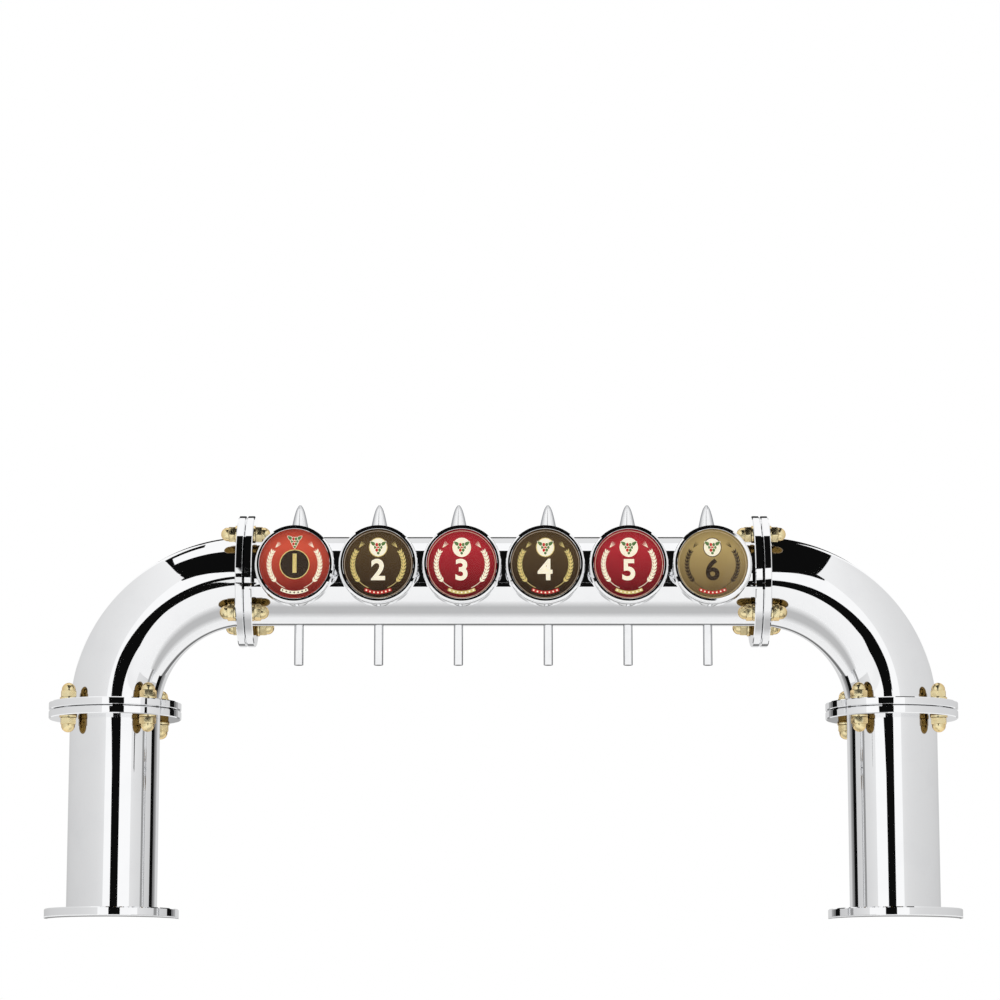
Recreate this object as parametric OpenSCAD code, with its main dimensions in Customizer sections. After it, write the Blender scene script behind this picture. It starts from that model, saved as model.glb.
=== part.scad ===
// Bridge beer tower: two flanged legs, two elbows and a bridge tube that carries
// badges on the customer side and taps on the serving side.
// Millimetres, +Z up, +Y towards the server. The origin lies on the counter,
// midway between the legs and under the bridge axis.

/* [Frame] */
// Distance between the two leg axes
leg_spacing = 900; // [860:10:1200]
// Height of the leg's flange joint above the counter
leg_h = 238; // [180:2:400]
// Radius of each elbow, measured at the tube's axis
bend_r = 152; // [140:2:220]

/* [Tube] */
// Outside diameter of the tube
tube_d = 104; // [98:1:108]
// Wall of the tube
tube_wall = 2; // [1.5:0.5:3]

/* [Flange joints] */
// How far a flange stands out from the tube
flange_ring = 24.5; // [24:0.5:33]
// Thickness of a flange
flange_t = 9; // [8:1:14]
// Distance from the flange's rim to the axis of each stud
stud_inset = 11.5; // [11:0.5:12]
// Angle by which the studs are turned off the diagonals, in degrees
stud_turn = 3.75; // [0:3.75:11.25]
// Thickness of the ring gasket between two flanges
gasket_t = 1; // [0.5:0.5:2]
// Chamfer on the rims of flanges and base plates
rim_edge = 1; // [0.5:0.5:2]

/* [Studs and dome nuts] */
// Diameter of a stud
stud_d = 10; // [8:1:10]
// Width across flats of a dome nut
nut_af = 17; // [16:1:17]
// Height of a dome nut's hexagon
nut_hex_h = 8; // [6:1:9]
// Whole height of a dome nut
nut_h = 17; // [16:1:20]
// Depth of the blind thread in a dome nut
nut_thread_h = 13; // [11:1:13]
// Diameter of the foot of the nut's dome
nut_dome_d = 16; // [14:0.5:16]
// Room on the flange's ring that a washer leaves bare
washer_room = 4.5; // [4:0.5:7]
// Thickness of a washer
washer_t = 2; // [1:0.5:2.5]

/* [Base plates] */
// Diameter of a base plate
base_d = 154; // [152:1:180]
// Thickness of a base plate
base_t = 10; // [8:1:14]
// Depth of the seat that holds the foot of the leg tube
leg_seat_h = 3; // [2:0.5:4]
// Diameter of the tapped holes for the counter bolts
counter_bolt_d = 8; // [6:1:8]
// Depth of the tapped holes
counter_bolt_h = 8; // [4:0.5:8]
// Inside diameter of the counter seal
seal_in_d = 108; // [107:1:110]
// Width of the counter seal
seal_w = 5; // [3:0.5:5]
// Thickness of the counter seal
seal_t = 2; // [1.5:0.5:3]

/* [Badges] */
// Distance between neighbouring badges
badge_pitch = 95; // [93:1:98]
// Height of the badges above the axis of the bridge
badge_rise = 5; // [0:1:10]
// Diameter of a badge housing
badge_d = 91; // [86:1:92]
// Distance from the housing's edge to the edge of the bezel ring
bezel_inset = 1.2; // [1:0.1:3]
// Width of the bezel ring
bezel_w = 3.4; // [2.4:0.2:3.6]
// How far the back of a housing stands out from the tube
badge_stand = 26; // [20:1:32]
// Depth of a badge housing, without the bezel
housing_h = 28; // [24:1:36]
// Height of the bezel ring
bezel_h = 4; // [3:0.5:6]
// Radius of the housing's back edge
housing_back_r = 7; // [4:1:8]
// Depth of the housing's front shoulder
housing_front_h = 8; // [4:1:8]
// Wall at the back of the housing
housing_wall = 2; // [1.5:0.5:3]
// Width of the seat that holds the edge of a print
print_rest = 2.6; // [2.4:0.2:4]
// Diameter of the neck that stands on the tube
neck_d = 28; // [20:1:36]
// Thickness of the print
print_t = 1; // [0.5:0.5:1.5]
// Thickness of the lens in front of the print
lens_t = 2; // [1:0.5:3]
// Diameter of the hollow threaded stem
stem_d = 10; // [8:1:12]
// Bore of the stem, for the light's cable
stem_bore = 4.4; // [4:0.2:5]
// Diameter of the stem's head
stem_head_d = 18; // [14:1:24]
// Thickness of the stem's head
stem_head_h = 3; // [2:0.5:4]
// Length of thread that stands out inside the tube
stem_tail = 12; // [9:0.5:12]
// Width across flats of the stem's nut
stem_nut_af = 17; // [15:1:19]
// Height of the stem's nut
stem_nut_h = 5; // [4:0.5:6]
// Diameter of the light board
board_d = 72; // [50:1:73]
// Thickness of the light board
board_t = 1.6; // [1:0.2:2]
// Number of lamps on a light board
lamp_count = 8; // [4:1:12]

/* [Taps] */
// How much further from the middle a tap stands than its badge
tap_shift = 6; // [0:1:7]
// Distance from the rosette's front to the spout's axis
tap_stand = 35; // [34:1:50]
// Diameter of the rosette against the tube
rosette_d = 38; // [32:1:44]
// How far the rosette's front stands out from the tube
rosette_h = 8; // [6:1:10]
// Diameter of the threaded shank
shank_d = 20; // [18:1:22]
// Bore of the shank and of the tap's tail, for the beer
beer_bore = 6; // [5:0.5:7]
// Length of the shank inside the tube, past its nut
shank_tail = 4; // [2:1:6]
// Width across flats of the shank's nut
shank_nut_af = 27; // [24:1:30]
// Height of the shank's nut
shank_nut_h = 8; // [5:1:9]
// Diameter of the tap's threaded tail
tap_tail_d = 16; // [14:1:17]
// Depth of the tail in the shank
tap_tail_h = 10; // [6:1:12]
// Diameter of the lock ring
lock_ring_d = 30; // [26:1:34]
// Thickness of the lock ring
lock_ring_h = 6; // [4:1:7]
// Diameter of the tap's level barrel
barrel_d = 26; // [25:1:28]
// Length of the barrel past the spout's axis
barrel_nose = 17; // [16:1:22]
// Diameter of the tap's upright barrel
upright_d = 28; // [26:1:32]
// Depth of the upright barrel under the barrel's axis
upright_drop = 20; // [18:1:26]
// Length of the cone under the upright barrel
upright_cone_h = 6; // [3:1:10]
// Outside diameter of the spout
spout_d = 11; // [9:0.5:12]
// Wall of the spout
spout_wall = 1; // [0.5:0.5:1.5]
// Distance from the barrel's axis down to the spout's end
spout_drop = 87; // [70:1:120]
// Length of the spout inside the tap's body
spout_seat_h = 14; // [8:1:15]
// Diameter of the valve spool
spool_d = 13.4; // [12:0.2:13.6]
// Length of the valve spool behind the lever
spool_back = 15.5; // [12:0.5:15.5]
// Length of the valve spool in front of the lever
spool_front = 7; // [6:0.5:7.5]
// Diameter of the spool's waist
spool_waist_d = 9; // [7:0.5:10]
// Length of the spool's back land
spool_land = 5; // [3:0.5:6]
// Diameter of the head of the barrel's end plug
plug_head_d = 19; // [16:1:22]
// Height of the head of the end plug
plug_head_h = 4; // [2:1:6]
// Length of the end plug inside the barrel
plug_seat_h = 5; // [3:0.5:5]

/* [Levers and handles] */
// Height of the lever's ball above the barrel's axis
pivot_rise = 18; // [17:0.5:20]
// Diameter of the lever's ball
ball_d = 18; // [16:0.5:18]
// Distance from the ball's centre down to the finger's tip ball
finger_arm = 15; // [14:0.5:15.5]
// Diameter of the finger's tip ball
finger_ball_d = 6; // [5:0.5:6]
// Diameter of the finger's neck
finger_neck_d = 4; // [3:0.5:4]
// Diameter of the lever's neck in the cap's slot
lever_neck_d = 6; // [5:0.5:7]
// Furthest angle of the lever towards the server, pouring
pour_angle = 30; // [20:1:32]
// Furthest angle of the lever towards the customer, for foam
foam_angle = 15; // [5:1:18]
// Outside diameter of the lever cap's dome
cap_dome_d = 25; // [24:0.5:26]
// Height of the lever cap's rim
cap_rim_h = 3; // [2:0.5:5]
// Height of the handle's foot above the barrel's axis
handle_foot = 38; // [36:1:46]
// Height of the handle's tip above the barrel's axis
handle_tip = 106; // [90:1:140]
// Greatest diameter of the handle
handle_d = 28; // [20:0.2:30]
// Distance from the tip down to the handle's greatest diameter
handle_swell = 42; // [30:1:46]
// Diameter of the handle's blunt tip
handle_tip_d = 5; // [3:0.5:8]
// Diameter of the lever's threaded end inside the handle
lever_stud_d = 8; // [6:0.5:9]
// Length of the threaded end inside the handle
lever_stud_h = 14; // [8:1:18]
// Diameter of the collar under the handle
lever_collar_d = 13; // [10:1:16]
// Thickness of the collar under the handle
lever_collar_h = 4; // [2:0.5:5]

/* [Flow levers] */
// Distance from the rosette's front to the flow lever's shaft
flow_stand = 14; // [13.5:0.5:15]
// Diameter of the flow lever's shaft
flow_shaft_d = 6; // [5:0.5:7]
// Distance from the tap's axis to the inner face of the arm
flow_arm_gap = 15.5; // [15.5:0.5:18]
// Thickness of the arm
flow_arm_t = 3; // [2:0.5:4]
// Width of the arm
flow_arm_w = 7; // [5:0.5:8]
// Length of the arm from the shaft to its end pad
flow_arm_len = 24; // [16:1:26]
// Diameter of the round pad at the arm's end
flow_pad_d = 10; // [8:0.5:12]

/* [Lines] */
// Outside diameter of a beer line
beer_line_d = 8; // [7:0.5:8]
// Distance between neighbouring beer lines, from front to back
line_gap = 17; // [16:0.5:18]
// Position of the backmost beer line behind the bridge axis
line_back = 8; // [6:0.5:9]
// Radius of the turn into the shank
line_turn_r = 16; // [13:1:17]
// Height of the lower ends of the lines above the counter
line_end_h = 3; // [2:1:8]
// Length of the plain spigot at the lower end of each line
spigot_h = 20; // [12:1:30]
// Depth of the stop groove above each spigot
groove_cut = 0.6; // [0.4:0.1:0.8]
// Width of the stop groove
groove_w = 1.5; // [1:0.5:3]
// Width across flats of the union nut on a shank
union_af = 17; // [16:1:18]
// Length of the union nut
union_h = 10; // [9:1:12]
// Outside diameter of the coolant line
cool_line_d = 9.5; // [8:0.5:9.5]
// Distance between the axes of the coolant line and the middle beer line
cool_rise = 9.65; // [9.6:0.05:9.7]
// Outside diameter of the light's cable
cable_d = 5; // [4:0.5:5.5]
// Diameter of the cable's branch to each badge
branch_d = 3.2; // [2.4:0.2:3.4]
// Gap between the cable and the foremost beer line
cable_gap = 0.3; // [0.2:0.1:1]
// Diameter of the connector at the cable's lower end
connector_d = 7; // [6:0.5:7]
// Length of the connector
connector_h = 18; // [12:1:24]

/* [Clearances] */
// Radial clearance where a tube is welded into a flange or a base plate
weld_gap = 0.1; // [0.05:0.05:0.2]
// Radial clearance in a threaded fit
thread_gap = 0.05; // [0.05:0.05:0.1]
// Radial clearance of studs, stems and shanks in plain holes
hole_gap = 0.5; // [0.3:0.1:1]
// Clearance where a curved seat stands on the tube
seat_gap = 0.1; // [0.05:0.05:0.3]
// Clearance around the lever's ball and the valve spool
valve_gap = 0.3; // [0.25:0.05:0.4]
// Radial clearance of the flow lever's shaft
shaft_gap = 0.06; // [0.03:0.01:0.1]
// Clearance beside discs, rings and boards in their recesses
side_gap = 0.2; // [0.1:0.05:0.4]

/* [Hidden] */
FINE = 96;
SMALL = 48;
CUT = 1;
TAPS = 6;
SIDES = [-1, 1];
ARC_STEPS = 8;

CHROME = "lightsteelblue";
STEEL = "silver";
BRASS = "goldenrod";
RUBBER = "dimgray";

leg_x = leg_spacing / 2;
bridge_x = leg_x - bend_r;
axis_z = leg_h + bend_r;
tube_r = tube_d / 2;
bore_r = tube_r - tube_wall;
gasket_half = gasket_t / 2;
flange_r = tube_r + flange_ring;
bolt_r = flange_r - stud_inset;
washer_r = (flange_ring - washer_room) / 2;
stud_r = stud_d / 2;
gasket_r = bolt_r - stud_r - hole_gap - CUT;
joint_half = gasket_half + flange_t;
nut_seat = joint_half + washer_t;
stud_reach = nut_seat + nut_thread_h - CUT;
nut_dome_h = nut_h - nut_hex_h;
nut_sphere_r = (pow(nut_dome_d / 2, 2) + pow(nut_dome_h, 2)) / (2 * nut_dome_h);
seal_r = seal_in_d / 2;

function badge_x(i) = (i - (TAPS - 1) / 2) * badge_pitch;
function side_of(x) = x < 0 ? -1 : 1;
function tap_x(i) = badge_x(i) + side_of(badge_x(i)) * tap_shift;
function polar(r, a) = [r * cos(a), r * sin(a)];
function hex_d(af) = af / cos(30);

badge_r = badge_d / 2;
bezel_r = badge_r - bezel_inset;
badge_back = tube_r + badge_stand;
housing_front = badge_back + housing_h;
print_seat = housing_front - lens_t - print_t;
print_r = bezel_r - bezel_w / 2 - CUT;
lit_r = print_r - print_rest;
board_seat = badge_back + housing_wall + stem_head_h;
stem_back = sqrt(pow(bore_r, 2) - pow(hex_d(stem_nut_af) / 2 + badge_rise, 2)) - seat_gap;
shank_inner = sqrt(pow(bore_r, 2) - pow(hex_d(shank_nut_af) / 2, 2)) - seat_gap;
shank_end = shank_inner - shank_nut_h - shank_tail;
rosette_front = tube_r + rosette_h;
tap_reach = rosette_front + tap_stand;
flow_reach = rosette_front + flow_stand;
tap_start = rosette_front + lock_ring_h;
barrel_r = barrel_d / 2;
upright_r = upright_d / 2;
barrel_end = tap_reach + barrel_nose;
spool_r = spool_d / 2;
spool_bore_r = spool_r + valve_gap;
// The finger's travel for one radian of the lever, averaged over the pouring stroke
spool_rate = finger_arm * sin(pour_angle) / (pour_angle * PI / 180);
pour_travel = finger_arm * sin(pour_angle);
foam_travel = finger_arm * sin(foam_angle);
chamber_back = tap_reach - spool_back - pour_travel - 2 * valve_gap;
plug_inner = barrel_end - plug_seat_h;
ball_r = ball_d / 2;
finger_ball_r = finger_ball_d / 2;
notch_half = finger_ball_r + finger_neck_d / 2 * 0.8;
spout_r = spout_d / 2;
spout_inner_r = spout_r - spout_wall;
upright_foot = -upright_drop - upright_cone_h;
spigot_r = tap_tail_d / 2 - 2;
line_r = beer_line_d / 2;
union_front = shank_end - CUT;
cable_back = line_back - 2 * line_gap - line_r - cable_d / 2 - cable_gap;

// Places. At a joint, local +Z points from the straight tube into the elbow.
module at_leg_joint(side) {
    translate([side * leg_x, 0, leg_h]) rotate([0, 0, side * stud_turn]) children();
}

module at_bridge_joint(side) {
    translate([side * bridge_x, 0, axis_z]) rotate([0, side * 90, 0]) rotate([0, 0, -side * stud_turn]) children();
}

module at_each_joint() {
    for (side = SIDES) {
        at_leg_joint(side) children();
        at_bridge_joint(side) children();
    }
}

module at_bolts(count = 4) {
    for (k = [0:count - 1]) rotate([0, 0, 45 + k * 90]) translate([bolt_r, 0, 0]) children();
}

// At a badge, local +Z points to the customer and starts at the tube's axis.
module at_badge(i) {
    translate([badge_x(i), 0, axis_z + badge_rise]) rotate([90, 0, 0]) children();
}

module at_each_badge() {
    for (i = [0:TAPS - 1]) at_badge(i) children();
}

module at_tap(i) {
    translate([tap_x(i), 0, axis_z]) children();
}

module at_each_tap() {
    for (i = [0:TAPS - 1]) at_tap(i) children();
}

// Shapes
module disc(r, z0, z1, fn = FINE) {
    translate([0, 0, z0]) cylinder(r = r, h = z1 - z0, $fn = fn);
}

// A cylinder along Y between two distances from the bridge axis
module rod_y(r, y0, y1, fn = SMALL) {
    translate([0, y0, 0]) rotate([-90, 0, 0]) cylinder(r = r, h = y1 - y0, $fn = fn);
}

module cone_y(r0, r1, y0, y1) {
    translate([0, y0, 0]) rotate([-90, 0, 0]) cylinder(r1 = r0, r2 = r1, h = y1 - y0, $fn = SMALL);
}

module hex(af, z0, z1) {
    translate([0, 0, z0]) cylinder(d = hex_d(af), h = z1 - z0, $fn = 6);
}

module bridge_core(r) {
    translate([-bridge_x, 0, axis_z]) rotate([0, 90, 0]) cylinder(r = r, h = 2 * bridge_x, $fn = FINE);
}

// A round plate with chamfered rims
module rim_plate(r, t) {
    rotate_extrude($fn = FINE)
        polygon([[0, 0], [r - rim_edge, 0], [r, rim_edge], [r, t - rim_edge], [r - rim_edge, t], [0, t]]);
}

// The elbow's round rod of radius r, from the leg joint round to the bridge joint
module elbow_rod(side, r, rise = 0, back = 0) {
    translate([side * bridge_x, back, leg_h]) mirror([side < 0 ? 1 : 0, 0, 0]) rotate([90, 0, 0])
        rotate_extrude(angle = 90, $fn = FINE) translate([bend_r + rise, 0]) circle(r = r, $fn = SMALL);
}

// Legs
module base_plate(side) {
    color(CHROME) translate([side * leg_x, 0, 0]) difference() {
        rim_plate(base_d / 2, base_t);
        disc(bore_r, -CUT, base_t + CUT);
        disc(tube_r + weld_gap, base_t - leg_seat_h, base_t + CUT);
        difference() {
            disc(seal_r + seal_w + side_gap, -CUT, seal_t);
            disc(seal_r - side_gap, -2 * CUT, seal_t + CUT);
        }
        at_bolts() disc(counter_bolt_d / 2, -CUT, counter_bolt_h, SMALL);
    }
}

module base_seals() {
    color(RUBBER) for (side = SIDES) translate([side * leg_x, 0, 0]) difference() {
        disc(seal_r + seal_w, 0, seal_t);
        disc(seal_r, -CUT, seal_t + CUT);
    }
}

module leg_tube(side) {
    color(CHROME) translate([side * leg_x, 0, 0]) difference() {
        disc(tube_r, base_t - leg_seat_h, leg_h - gasket_half);
        disc(bore_r, 0, leg_h);
    }
}

// Flange joints
module straight_flange() {
    color(CHROME) translate([0, 0, -joint_half]) difference() {
        rim_plate(flange_r, flange_t);
        disc(tube_r + weld_gap, -CUT, flange_t + CUT);
        at_bolts() disc(stud_r + hole_gap, -CUT, flange_t + CUT, SMALL);
    }
}

module elbow_flange_blank() {
    translate([0, 0, gasket_half]) difference() {
        rim_plate(flange_r, flange_t);
        at_bolts() disc(stud_r + hole_gap, -CUT, flange_t + CUT, SMALL);
    }
}

module elbow_flanges() {
    color(CHROME) for (side = SIDES) {
        difference() {
            at_leg_joint(side) elbow_flange_blank();
            elbow_rod(side, tube_r + weld_gap);
        }
        difference() {
            at_bridge_joint(side) elbow_flange_blank();
            elbow_rod(side, tube_r + weld_gap);
        }
    }
}

module elbow(side) {
    color(CHROME) difference() {
        elbow_rod(side, tube_r);
        elbow_rod(side, bore_r);
        at_leg_joint(side) disc(2 * flange_r, -CUT, gasket_half);
        at_bridge_joint(side) disc(2 * flange_r, -CUT, gasket_half);
    }
}

module joint_gaskets() {
    color(RUBBER) at_each_joint() difference() {
        disc(gasket_r, -gasket_half, gasket_half);
        disc(bore_r, -CUT, CUT);
    }
}

module flange_studs() {
    color(STEEL) at_each_joint() at_bolts() disc(stud_r, -stud_reach, stud_reach, SMALL);
}

module dome_nut() {
    difference() {
        union() {
            hex(nut_af, 0, nut_hex_h);
            translate([0, 0, nut_h - nut_sphere_r]) sphere(r = nut_sphere_r, $fn = SMALL);
        }
        disc(stud_r + thread_gap, -CUT, nut_thread_h, SMALL);
    }
}

module at_nut_seats(seat) {
    at_each_joint() at_bolts() for (flip = [0, 180]) rotate([0, flip, 0]) translate([0, 0, seat]) children();
}

module dome_nuts() {
    color(BRASS) at_nut_seats(nut_seat) dome_nut();
}

module flange_washers() {
    color(BRASS) at_nut_seats(joint_half) difference() {
        disc(washer_r, 0, washer_t, SMALL);
        disc(stud_r + hole_gap, -CUT, washer_t + CUT, SMALL);
    }
}

// Bridge
module bridge_tube() {
    reach = bridge_x - gasket_half;
    color(CHROME) difference() {
        translate([-reach, 0, axis_z]) rotate([0, 90, 0]) cylinder(r = tube_r, h = 2 * reach, $fn = FINE);
        bridge_core(bore_r);
        at_each_badge() disc(stem_d / 2 + hole_gap, 0, tube_d, SMALL);
        at_each_tap() rod_y(shank_d / 2 + hole_gap, 0, tube_d);
    }
}

// Badges
module badge_housings() {
    back = badge_back;
    outline = concat(
        [[neck_d / 2, 0], [neck_d / 2, back]],
        [for (k = [0:ARC_STEPS]) [badge_r - housing_back_r, back + housing_back_r]
            + polar(housing_back_r, -90 + 90 * k / ARC_STEPS)],
        [for (k = [0:ARC_STEPS]) [
            badge_r - (badge_r - bezel_r) * (1 - cos(90 * k / ARC_STEPS)),
            housing_front - housing_front_h + housing_front_h * sin(90 * k / ARC_STEPS)]],
        [[print_r + side_gap, housing_front], [print_r + side_gap, print_seat], [lit_r, print_seat],
            [lit_r, back + housing_wall], [stem_d / 2 + side_gap, back + housing_wall],
            [stem_d / 2 + side_gap, 0]]
    );
    color(CHROME) difference() {
        at_each_badge() rotate_extrude($fn = FINE) polygon(outline);
        bridge_core(tube_r + seat_gap);
    }
}

module badge_bezels() {
    half = bezel_w / 2;
    color(CHROME) at_each_badge() rotate_extrude($fn = FINE)
        polygon(concat(
            [[bezel_r - bezel_w, housing_front], [bezel_r, housing_front]],
            [for (k = [0:ARC_STEPS]) [bezel_r - half, housing_front + bezel_h - half]
                + polar(half, 180 * k / ARC_STEPS)]
        ));
}

module badge_lenses() {
    color("white", 0.3) at_each_badge() disc(print_r, print_seat + print_t, housing_front);
}

module badge_prints() {
    color("firebrick") at_each_badge() disc(print_r, print_seat, print_seat + print_t);
}

module light_boards() {
    lamp = 3;
    color("seagreen") at_each_badge() difference() {
        union() {
            disc(board_d / 2, board_seat, board_seat + board_t);
            for (k = [0:lamp_count - 1]) rotate([0, 0, k * 360 / lamp_count])
                translate([board_d / 3 - lamp / 2, -lamp / 2, board_seat]) cube([lamp, lamp, board_t + lamp / 2]);
        }
        disc(branch_d / 2 + side_gap, 0, board_seat + 2 * board_t, SMALL);
    }
}

module badge_stems() {
    stem_r = stem_d / 2;
    head = badge_back + housing_wall;
    color(STEEL) at_each_badge() difference() {
        union() {
            disc(stem_r, stem_back - stem_tail, head + CUT, SMALL);
            disc(stem_head_d / 2, head, head + stem_head_h, SMALL);
        }
        disc(stem_bore / 2, 0, head + stem_head_h + CUT, SMALL);
    }
}

module badge_nuts() {
    color(STEEL) at_each_badge() difference() {
        hex(stem_nut_af, stem_back - stem_nut_h, stem_back);
        disc(stem_d / 2 + thread_gap, 0, tube_d, SMALL);
    }
}

// Taps
module tap_rosettes() {
    color(CHROME) difference() {
        at_each_tap() difference() {
            union() {
                rod_y(rosette_d / 2, 0, rosette_front - 2 * rim_edge);
                cone_y(rosette_d / 2, rosette_d / 2 - 2 * rim_edge, rosette_front - 2 * rim_edge, rosette_front);
            }
            rod_y(shank_d / 2 + hole_gap, -CUT, rosette_front + CUT);
        }
        bridge_core(tube_r + seat_gap);
    }
}

module tap_shanks() {
    color(STEEL) at_each_tap() difference() {
        union() {
            rod_y(shank_d / 2, shank_end, rosette_front);
            rod_y(spigot_r, union_front - union_h / 2, shank_end + CUT);
        }
        rod_y(beer_bore / 2, 0, rosette_front);
        rod_y(tap_tail_d / 2 + thread_gap, rosette_front - tap_tail_h, rosette_front + CUT);
    }
}

module tap_shank_nuts() {
    color(BRASS) at_each_tap() difference() {
        rotate([-90, 0, 0]) hex(shank_nut_af, shank_inner - shank_nut_h, shank_inner);
        rod_y(shank_d / 2 + thread_gap, 0, tube_d);
    }
}

module tap_lock_rings() {
    color(CHROME) at_each_tap() difference() {
        rod_y(lock_ring_d / 2, rosette_front, tap_start);
        rod_y(tap_tail_d / 2 + thread_gap, 0, tap_start + CUT);
    }
}

module tap_body() {
    slot_w = finger_ball_d + 2 * valve_gap;
    slot_back = pour_travel + finger_ball_r + valve_gap;
    slot_front = foam_travel + finger_ball_r + valve_gap;
    difference() {
        union() {
            rod_y(tap_tail_d / 2, rosette_front - tap_tail_h, tap_start + CUT);
            rod_y(barrel_r, tap_start, barrel_end);
            translate([0, tap_reach, 0]) {
                disc(upright_r, -upright_drop, pivot_rise, SMALL);
                translate([0, 0, upright_foot])
                    cylinder(r1 = spout_r + 2, r2 = upright_r, h = upright_cone_h, $fn = SMALL);
            }
        }
        rod_y(beer_bore / 2, 0, tap_reach);
        rod_y(spool_bore_r, chamber_back, barrel_end + CUT);
        translate([0, tap_reach, pivot_rise]) sphere(r = ball_r + valve_gap, $fn = SMALL);
        translate([-slot_w / 2, tap_reach - slot_back, 0])
            cube([slot_w, slot_back + slot_front, pivot_rise - ball_r / 2]);
        translate([0, tap_reach, 0]) {
            disc(spout_inner_r, upright_foot, 0, SMALL);
            disc(spout_r + thread_gap, upright_foot - CUT, upright_foot + spout_seat_h, SMALL);
        }
        translate([0, flow_reach, 0]) rotate([0, 90, 0])
            cylinder(r = flow_shaft_d / 2 + shaft_gap, h = upright_d, $fn = SMALL);
    }
}

module tap_bodies() {
    color(CHROME) at_each_tap() tap_body();
}

module tap_spouts() {
    color(CHROME) at_each_tap() translate([0, tap_reach, 0]) difference() {
        disc(spout_r, -spout_drop, upright_foot + spout_seat_h, SMALL);
        disc(spout_inner_r, -spout_drop - CUT, 0, SMALL);
    }
}

// The domed cap over the lever's ball, with the slot that the lever swings in
module lever_cap() {
    slot_w = lever_neck_d + 4 * valve_gap;
    reach = cap_dome_d;
    side_room = slot_w / 2 / cos(pour_angle);
    difference() {
        union() {
            disc(upright_r, 0, cap_rim_h, SMALL);
            sphere(d = cap_dome_d, $fn = SMALL);
        }
        sphere(r = ball_r + valve_gap, $fn = SMALL);
        disc(upright_r, -cap_dome_d, 0, SMALL);
        translate([slot_w / 2, 0, 0]) rotate([0, -90, 0]) linear_extrude(slot_w)
            polygon([
                [0, -side_room], [0, side_room],
                [reach * cos(pour_angle), side_room + reach * sin(pour_angle)],
                [reach * 2, side_room + reach * sin(pour_angle)],
                [reach * 2, -side_room - reach * sin(foam_angle)],
                [reach * cos(foam_angle), -side_room - reach * sin(foam_angle)]
            ]);
    }
}

module tap_caps() {
    color(CHROME) at_each_tap() {
        translate([0, tap_reach, pivot_rise]) lever_cap();
        rod_y(spool_bore_r - thread_gap, plug_inner, barrel_end + CUT);
        rod_y(plug_head_d / 2, barrel_end, barrel_end + plug_head_h);
    }
}

module tap_valve(i) {
    waist_from = tap_reach - spool_back + spool_land;
    waist_to = tap_reach - notch_half - CUT;
    color(STEEL) at_tap(i) difference() {
        rod_y(spool_r, tap_reach - spool_back, tap_reach + spool_front);
        difference() {
            rod_y(spool_d, waist_from, waist_to);
            rod_y(spool_waist_d / 2, waist_from - CUT, waist_to + CUT);
        }
        translate([-spool_d, tap_reach - notch_half, pivot_rise - finger_arm - finger_ball_r - valve_gap])
            cube([2 * spool_d, 2 * notch_half, spool_d]);
    }
}

module tap_lever(i) {
    collar_foot = handle_foot - lever_collar_h - pivot_rise;
    stud_foot = handle_foot - pivot_rise;
    color(CHROME) at_tap(i) translate([0, tap_reach, pivot_rise]) {
        sphere(d = ball_d, $fn = SMALL);
        disc(lever_neck_d / 2, 0, collar_foot + CUT, SMALL);
        disc(lever_collar_d / 2, collar_foot, stud_foot, SMALL);
        disc(lever_stud_d / 2, stud_foot, stud_foot + lever_stud_h, SMALL);
        disc(finger_neck_d / 2, -finger_arm, 0, SMALL);
        translate([0, 0, -finger_arm]) sphere(d = finger_ball_d, $fn = SMALL);
    }
}

// A slender ogive: one arc from the blunt tip past the swell to the foot
module tap_handle(i) {
    half = handle_d / 2;
    inset = half - handle_tip_d / 2;
    arc_r = (pow(handle_swell, 2) + pow(inset, 2)) / (2 * inset);
    length = handle_tip - handle_foot;
    tip_h = handle_tip_d / 4;
    steps = 2 * ARC_STEPS;
    side = [for (k = [0:steps]) let (t = tip_h + (length - tip_h) * k / steps)
        [half - arc_r + sqrt(pow(arc_r, 2) - pow(handle_swell - t, 2)), handle_tip - t]];
    color(CHROME) at_tap(i) translate([0, tap_reach, 0]) difference() {
        rotate_extrude($fn = SMALL) polygon(concat([[0, handle_foot], [0, handle_tip],
            [handle_tip_d / 4, handle_tip]], side));
        disc(lever_stud_d / 2 + thread_gap, handle_foot - CUT, handle_foot + lever_stud_h + side_gap, SMALL);
    }
}

module flow_lever(i) {
    color(CHROME) at_tap(i) translate([0, flow_reach, 0]) {
        translate([spool_bore_r + 2 * valve_gap, 0, 0]) rotate([0, 90, 0])
            cylinder(d = flow_shaft_d, h = flow_arm_gap + CUT - spool_bore_r, $fn = SMALL);
        translate([flow_arm_gap, 0, 0]) rotate([0, 90, 0]) {
            cylinder(d = flow_arm_w + 2, h = flow_arm_t, $fn = SMALL);
            translate([-flow_arm_len, 0, 0]) cylinder(d = flow_pad_d, h = flow_arm_t, $fn = SMALL);
            translate([-flow_arm_len, -flow_arm_w / 2, 0]) cube([flow_arm_len, flow_arm_w, flow_arm_t]);
        }
    }
}

// Lines inside the tube
module spigot_end(x, back, r) {
    translate([x, back, 0]) {
        disc(r, line_end_h, line_end_h + spigot_h, SMALL);
        disc(r - groove_cut, line_end_h + spigot_h, line_end_h + spigot_h + groove_w, SMALL);
        disc(r, line_end_h + spigot_h + groove_w, leg_h, SMALL);
    }
}

module bridge_rod(x0, x1, back, rise, r) {
    translate([min(x0, x1), back, axis_z + rise]) rotate([0, 90, 0])
        cylinder(r = r, h = abs(x1 - x0), $fn = SMALL);
}

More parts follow.
